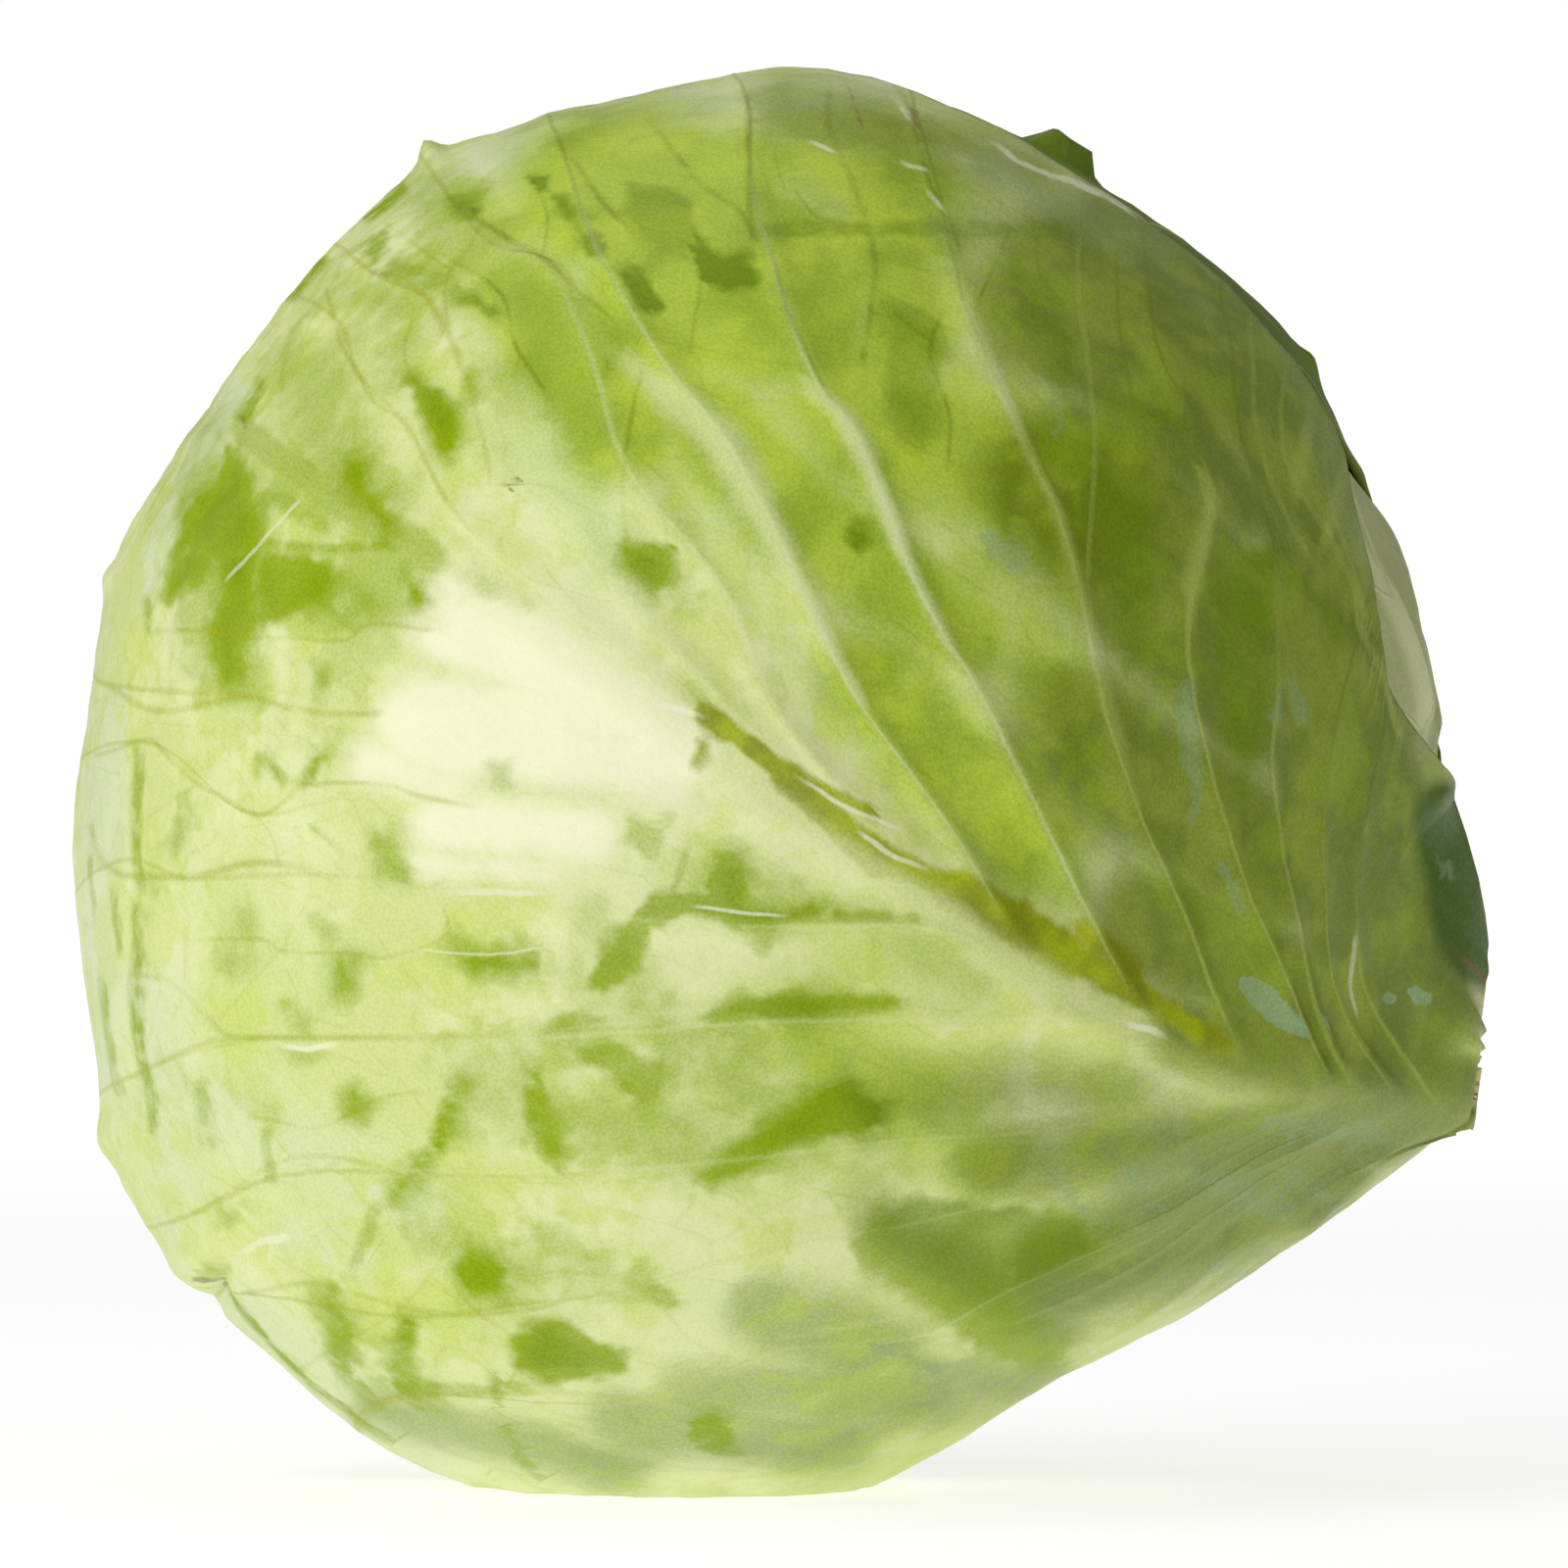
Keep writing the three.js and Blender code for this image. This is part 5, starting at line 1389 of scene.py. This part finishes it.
def stemSurface():
    s = Surface("stemFlesh")
    rim = s.read("rim")
    fibre = s.noise(900.0, 4.0, 0.7)
    broad, middling = s.noise(90.0, 4.0), s.noise(300.0, 4.0)
    colour = s.mix(s.ramp(broad, 0.3, 0.7), paint(216, 210, 150), paint(196, 186, 118))
    ring = s.ramp(abs(rim - 0.72), 0.02, 0.09, 1.0, 0.0)
    colour = s.mix(ring * 0.5, colour, paint(176, 182, 104))
    dots = s.ramp(s.cells(700.0, s.place), 0.0, 0.12, 1.0, 0.0)
    colour = s.mix(dots * 0.2, colour, paint(170, 152, 88))
    colour = s.mix(s.ramp(rim + (middling - 0.5) * 0.35, 0.86, 1.02) * 0.8, colour, paint(138, 108, 62))
    colour = s.mix(s.ramp(middling, 0.6, 0.75) * 0.5, colour, paint(160, 130, 80))
    rough = 0.62 + (fibre - 0.5) * 0.3
    return s.finish(colour, rough, fibre * 0.6 + dots * 0.4 + middling * 0.6, 0.0006)


# The ball of packed inner leaves
heartForm = {
    "name": "heart", "rings": 150, "around": 220, "dent": 0.5, "pucker": 0.08,
    "folds": [(70, 150, 64), (95, 260, 58), (60, 20, 52)],   # from the stem, round it, reach
    "foldHeight": 0.5, "sink": 0.4,
    "dimple": 5.2, "dimpleGap": 0.8,        # degrees round the stem's root, mm below it
}


def buildHeart():
    form = bmesh.new()
    bmesh.ops.create_uvsphere(form, u_segments=heartForm["around"], v_segments=heartForm["rings"],
                              radius=1)
    local = np.array([v.co[:] for v in form.verts])
    d = (local[:, 2:3] * stemAxis + local[:, 0:1] * upAxis + local[:, 1:2] * frontAxis)
    d /= np.linalg.norm(d, axis=1)[:, None]
    depth, bare = layering(allLeaves, d)
    place = onHead(d, freeRadius(d)) * 0.1
    uneven = (heartForm["dent"] * fractal(place, relief["dents"], 3, 3)
              + heartForm["pucker"] * fractal(place, relief["puckers"], 2, 4))
    for fromStem, around, reach in heartForm["folds"]:
        past = angleFrom(d, headDirection(fromStem, around)) - reach
        inside = 1 - smoothStep(past, -0.6, 0.6)
        uneven += heartForm["foldHeight"] * inside * (1 - smoothStep(-past, 0, 25) * 0.7)
    radius = np.minimum(freeRadius(d), heldRadius(d, layers["flatClearance"])) - depth
    radius += uneven * smoothStep(bare, 0.2, 1) - layers["heartGap"] - heartForm["sink"]
    points = onHead(d, radius)
    nearStem = d @ stemAxis > math.cos(math.radians(heartForm["dimple"]))
    root = stemForm["start"] - heartForm["dimpleGap"]
    points[nearStem] = onHead(d[nearStem], np.full(nearStem.sum(), root))
    for vertex, point in zip(form.verts, points):
        vertex.co = Vector(point * mm)
    faceOutward(form)
    mesh = bpy.data.meshes.new("heart_visual")
    form.to_mesh(mesh)
    form.free()
    piece = bpy.data.objects.new("heart_skin", mesh)
    bpy.context.scene.collection.objects.link(piece)
    mesh.materials.append(heartSurface())
    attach(piece, "root")
    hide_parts("heart")
    return piece


stemForm = {
    "radius": 7.9, "start": 66.0, "sides": 96, "rings": 14, "roughCut": 0.35, "steps": 16,
}


def buildStem():
    form = bmesh.new()
    bmesh.ops.create_circle(form, cap_ends=True, cap_tris=False, radius=stemForm["radius"],
                            segments=stemForm["sides"])
    # the cut face: rings set in from the rim
    for _ in range(stemForm["rings"] - 1):
        inner = max(form.faces, key=lambda f: len(f.verts))
        bmesh.ops.inset_region(form, faces=[inner], use_even_offset=True,
                               thickness=stemForm["radius"] / stemForm["rings"])
    # the side, drawn back along the stem
    rimEdges = [e for e in form.edges if e.is_boundary]
    step = (head["cutDistance"] / (stemAxis @ cutNormal) - stemForm["start"]) / stemForm["steps"]
    for _ in range(stemForm["steps"]):
        made = bmesh.ops.extrude_edge_only(form, edges=rimEdges)["geom"]
        bmesh.ops.translate(form, verts=[g for g in made if isinstance(g, bmesh.types.BMVert)],
                            vec=(0, 0, -step))
        rimEdges = [g for g in made if isinstance(g, bmesh.types.BMEdge) and g.is_boundary]
    bmesh.ops.contextual_create(form, geom=rimEdges)
    rim = form.verts.layers.float.new("rim")
    end = head["cutDistance"] / (stemAxis @ cutNormal)
    for vertex in form.verts:
        x, y, z = vertex.co
        out = math.hypot(x, y) / stemForm["radius"]
        vertex[rim] = out
        angle = math.atan2(y, x)
        wobble = 1 - 0.02 * (1 + math.sin(3 * angle + 0.5)) - 0.012 * (1 + math.sin(7 * angle))
        place = headCentre + upAxis * x * wobble + frontAxis * y * wobble
        # the cut is slanted, so the end leans with the knife
        along = (head["cutDistance"] - (place - headCentre) @ cutNormal) / (stemAxis @ cutNormal)
        if z < -1e-6:
            along = end + z + (along - end) * (1 + z / (end - stemForm["start"]))
        else:
            bump = noise.fractal(Vector((x, y, 2.0)) * 0.6, 1.0, 2.0, 3)
            along += stemForm["roughCut"] * (bump - 0.6) - 0.5 * smoothStep(np.array(out), 0.9, 1.0)
        vertex.co = Vector((place + stemAxis * along) * mm)
    bmesh.ops.recalc_face_normals(form, faces=form.faces)
    for face in form.faces:
        face.smooth = True
    mesh = bpy.data.meshes.new("stem_visual")
    form.to_mesh(mesh)
    form.free()
    piece = bpy.data.objects.new("stem_flesh", mesh)
    bpy.context.scene.collection.objects.link(piece)
    mesh.materials.append(stemSurface())
    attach(piece, "root")
    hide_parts("stem")
    return piece


skins = {
    "leaf_front": frontLeafSurface(),
    "leaf_top": sideLeafSurface("topLeafSkin", paint(106, 128, 26), paint(86, 108, 20),
                                paint(156, 174, 84), paint(70, 96, 12), 0.5),
    "leaf_under": sideLeafSurface("underLeafSkin", paint(184, 200, 112), paint(156, 178, 78),
                                  paint(214, 222, 160), paint(138, 170, 36), 0.6),
    "leaf_back": sideLeafSurface("backLeafSkin", paint(194, 208, 120), paint(166, 188, 84),
                                 paint(218, 226, 168), paint(142, 176, 40), 0.55),
    "leaf_inner": sideLeafSurface("innerLeafSkin", paint(176, 182, 130), paint(162, 170, 112),
                                  paint(204, 208, 156), paint(150, 164, 84), 0.3),
}
for index, leaf in enumerate(allLeaves):
    skin = buildLeaf(leaf, allLeaves[:index])
    skin.data.materials.append(skins[leaf["name"]])
    print("stage:", leaf["name"], "made,", len(skin.data.polygons), "faces a side")
buildHeart()
buildStem()
print("stage: heart and stem made")


# Lights are (power in watts, size, place) in metres
studio = {
    "floorRadius": 9.0, "floorPale": 0.4, "floorGlow": (0.73, 1.0),
    "floorNear": 0.5, "floorFar": 2.5,      # where the floor's glow changes
    "lights": {
        "key": (17.8, (1.2, 1.2), (-1.3, -1.2, 0.9)),
        "fill": (0.6, (1.4, 1.4), (1.5, -1.3, 0.5)),
        "top": (7.5, (1.6, 1.2), (-0.2, 0.1, 1.6)),
    },
    "aim": (0, 0, 0.09),
    "air": 0.22, "skySeen": 1.0,
    "filmWidth": 36,                        # mm
}


def buildFloor():
    form = bmesh.new()
    bmesh.ops.create_circle(form, cap_ends=True, segments=64, radius=studio["floorRadius"])
    bmesh.ops.recalc_face_normals(form, faces=form.faces)
    for face in form.faces:
        if face.normal.z < 0:
            face.normal_flip()
    mesh = bpy.data.meshes.new("floor")
    form.to_mesh(mesh)
    form.free()
    floor = bpy.data.objects.new("floor", mesh)
    bpy.context.scene.collection.objects.link(floor)
    s = Surface("paleFloor")
    # the floor glows more far from the head, so that it meets the white sky without a line
    away = s.node("ShaderNodeVectorMath", {"operation": "LENGTH"}, {0: s.place}, output="Value")
    near, far = studio["floorGlow"]
    glow = s.mix(s.ramp(away, studio["floorNear"], studio["floorFar"]), (near, near, near, 1),
                 (far, far, far, 1))
    shader = s.node("ShaderNodeBsdfPrincipled", None, {
        "Base Color": (*[studio["floorPale"]] * 3, 1), "Roughness": 0.8,
        "Emission Color": glow, "Emission Strength": 1.0})
    s.node("ShaderNodeOutputMaterial", None, {"Surface": shader})
    mesh.materials.append(s.material)


def addLight(name, power, size, place):
    lamp = bpy.data.lights.new(name, "AREA")
    lamp.energy, lamp.shape, lamp.size, lamp.size_y = power, "RECTANGLE", size[0], size[1]
    item = bpy.data.objects.new(name, lamp)
    bpy.context.scene.collection.objects.link(item)
    item.location = place
    item.rotation_euler = (Vector(studio["aim"]) - Vector(place)).to_track_quat("-Z", "Y").to_euler()


buildFloor()
for name, light in studio["lights"].items():
    addLight(name, *light)

world = bpy.data.worlds.new("studio")
bpy.context.scene.world = world
world.use_nodes = True
sky = world.node_tree.nodes["Background"]
sky.inputs["Color"].default_value = (1, 1, 1, 1)
seen = world.node_tree.nodes.new("ShaderNodeLightPath")
strength = world.node_tree.nodes.new("ShaderNodeMapRange")
strength.inputs["To Min"].default_value = studio["air"]
strength.inputs["To Max"].default_value = studio["skySeen"]
world.node_tree.links.new(seen.outputs["Is Camera Ray"], strength.inputs["Value"])
world.node_tree.links.new(strength.outputs["Result"], sky.inputs["Strength"])
bpy.context.scene.view_settings.view_transform = "Standard"

lens = bpy.data.cameras.new("camera")
lens.sensor_width = studio["filmWidth"]
lens.lens = studio["filmWidth"] * view["distance"] / (view["imageSize"] * view["mmPerPixel"])
lens.clip_start = 0.05
lens.clip_end = 50
camera = bpy.data.objects.new("camera", lens)
bpy.context.scene.collection.objects.link(camera)
camera.location = (view["middleX"] * mm, (headCentre[1] - view["distance"]) * mm, view["middleZ"] * mm)
camera.rotation_euler = (math.pi / 2, 0, 0)
bpy.context.scene.camera = camera
print("stage: studio set")
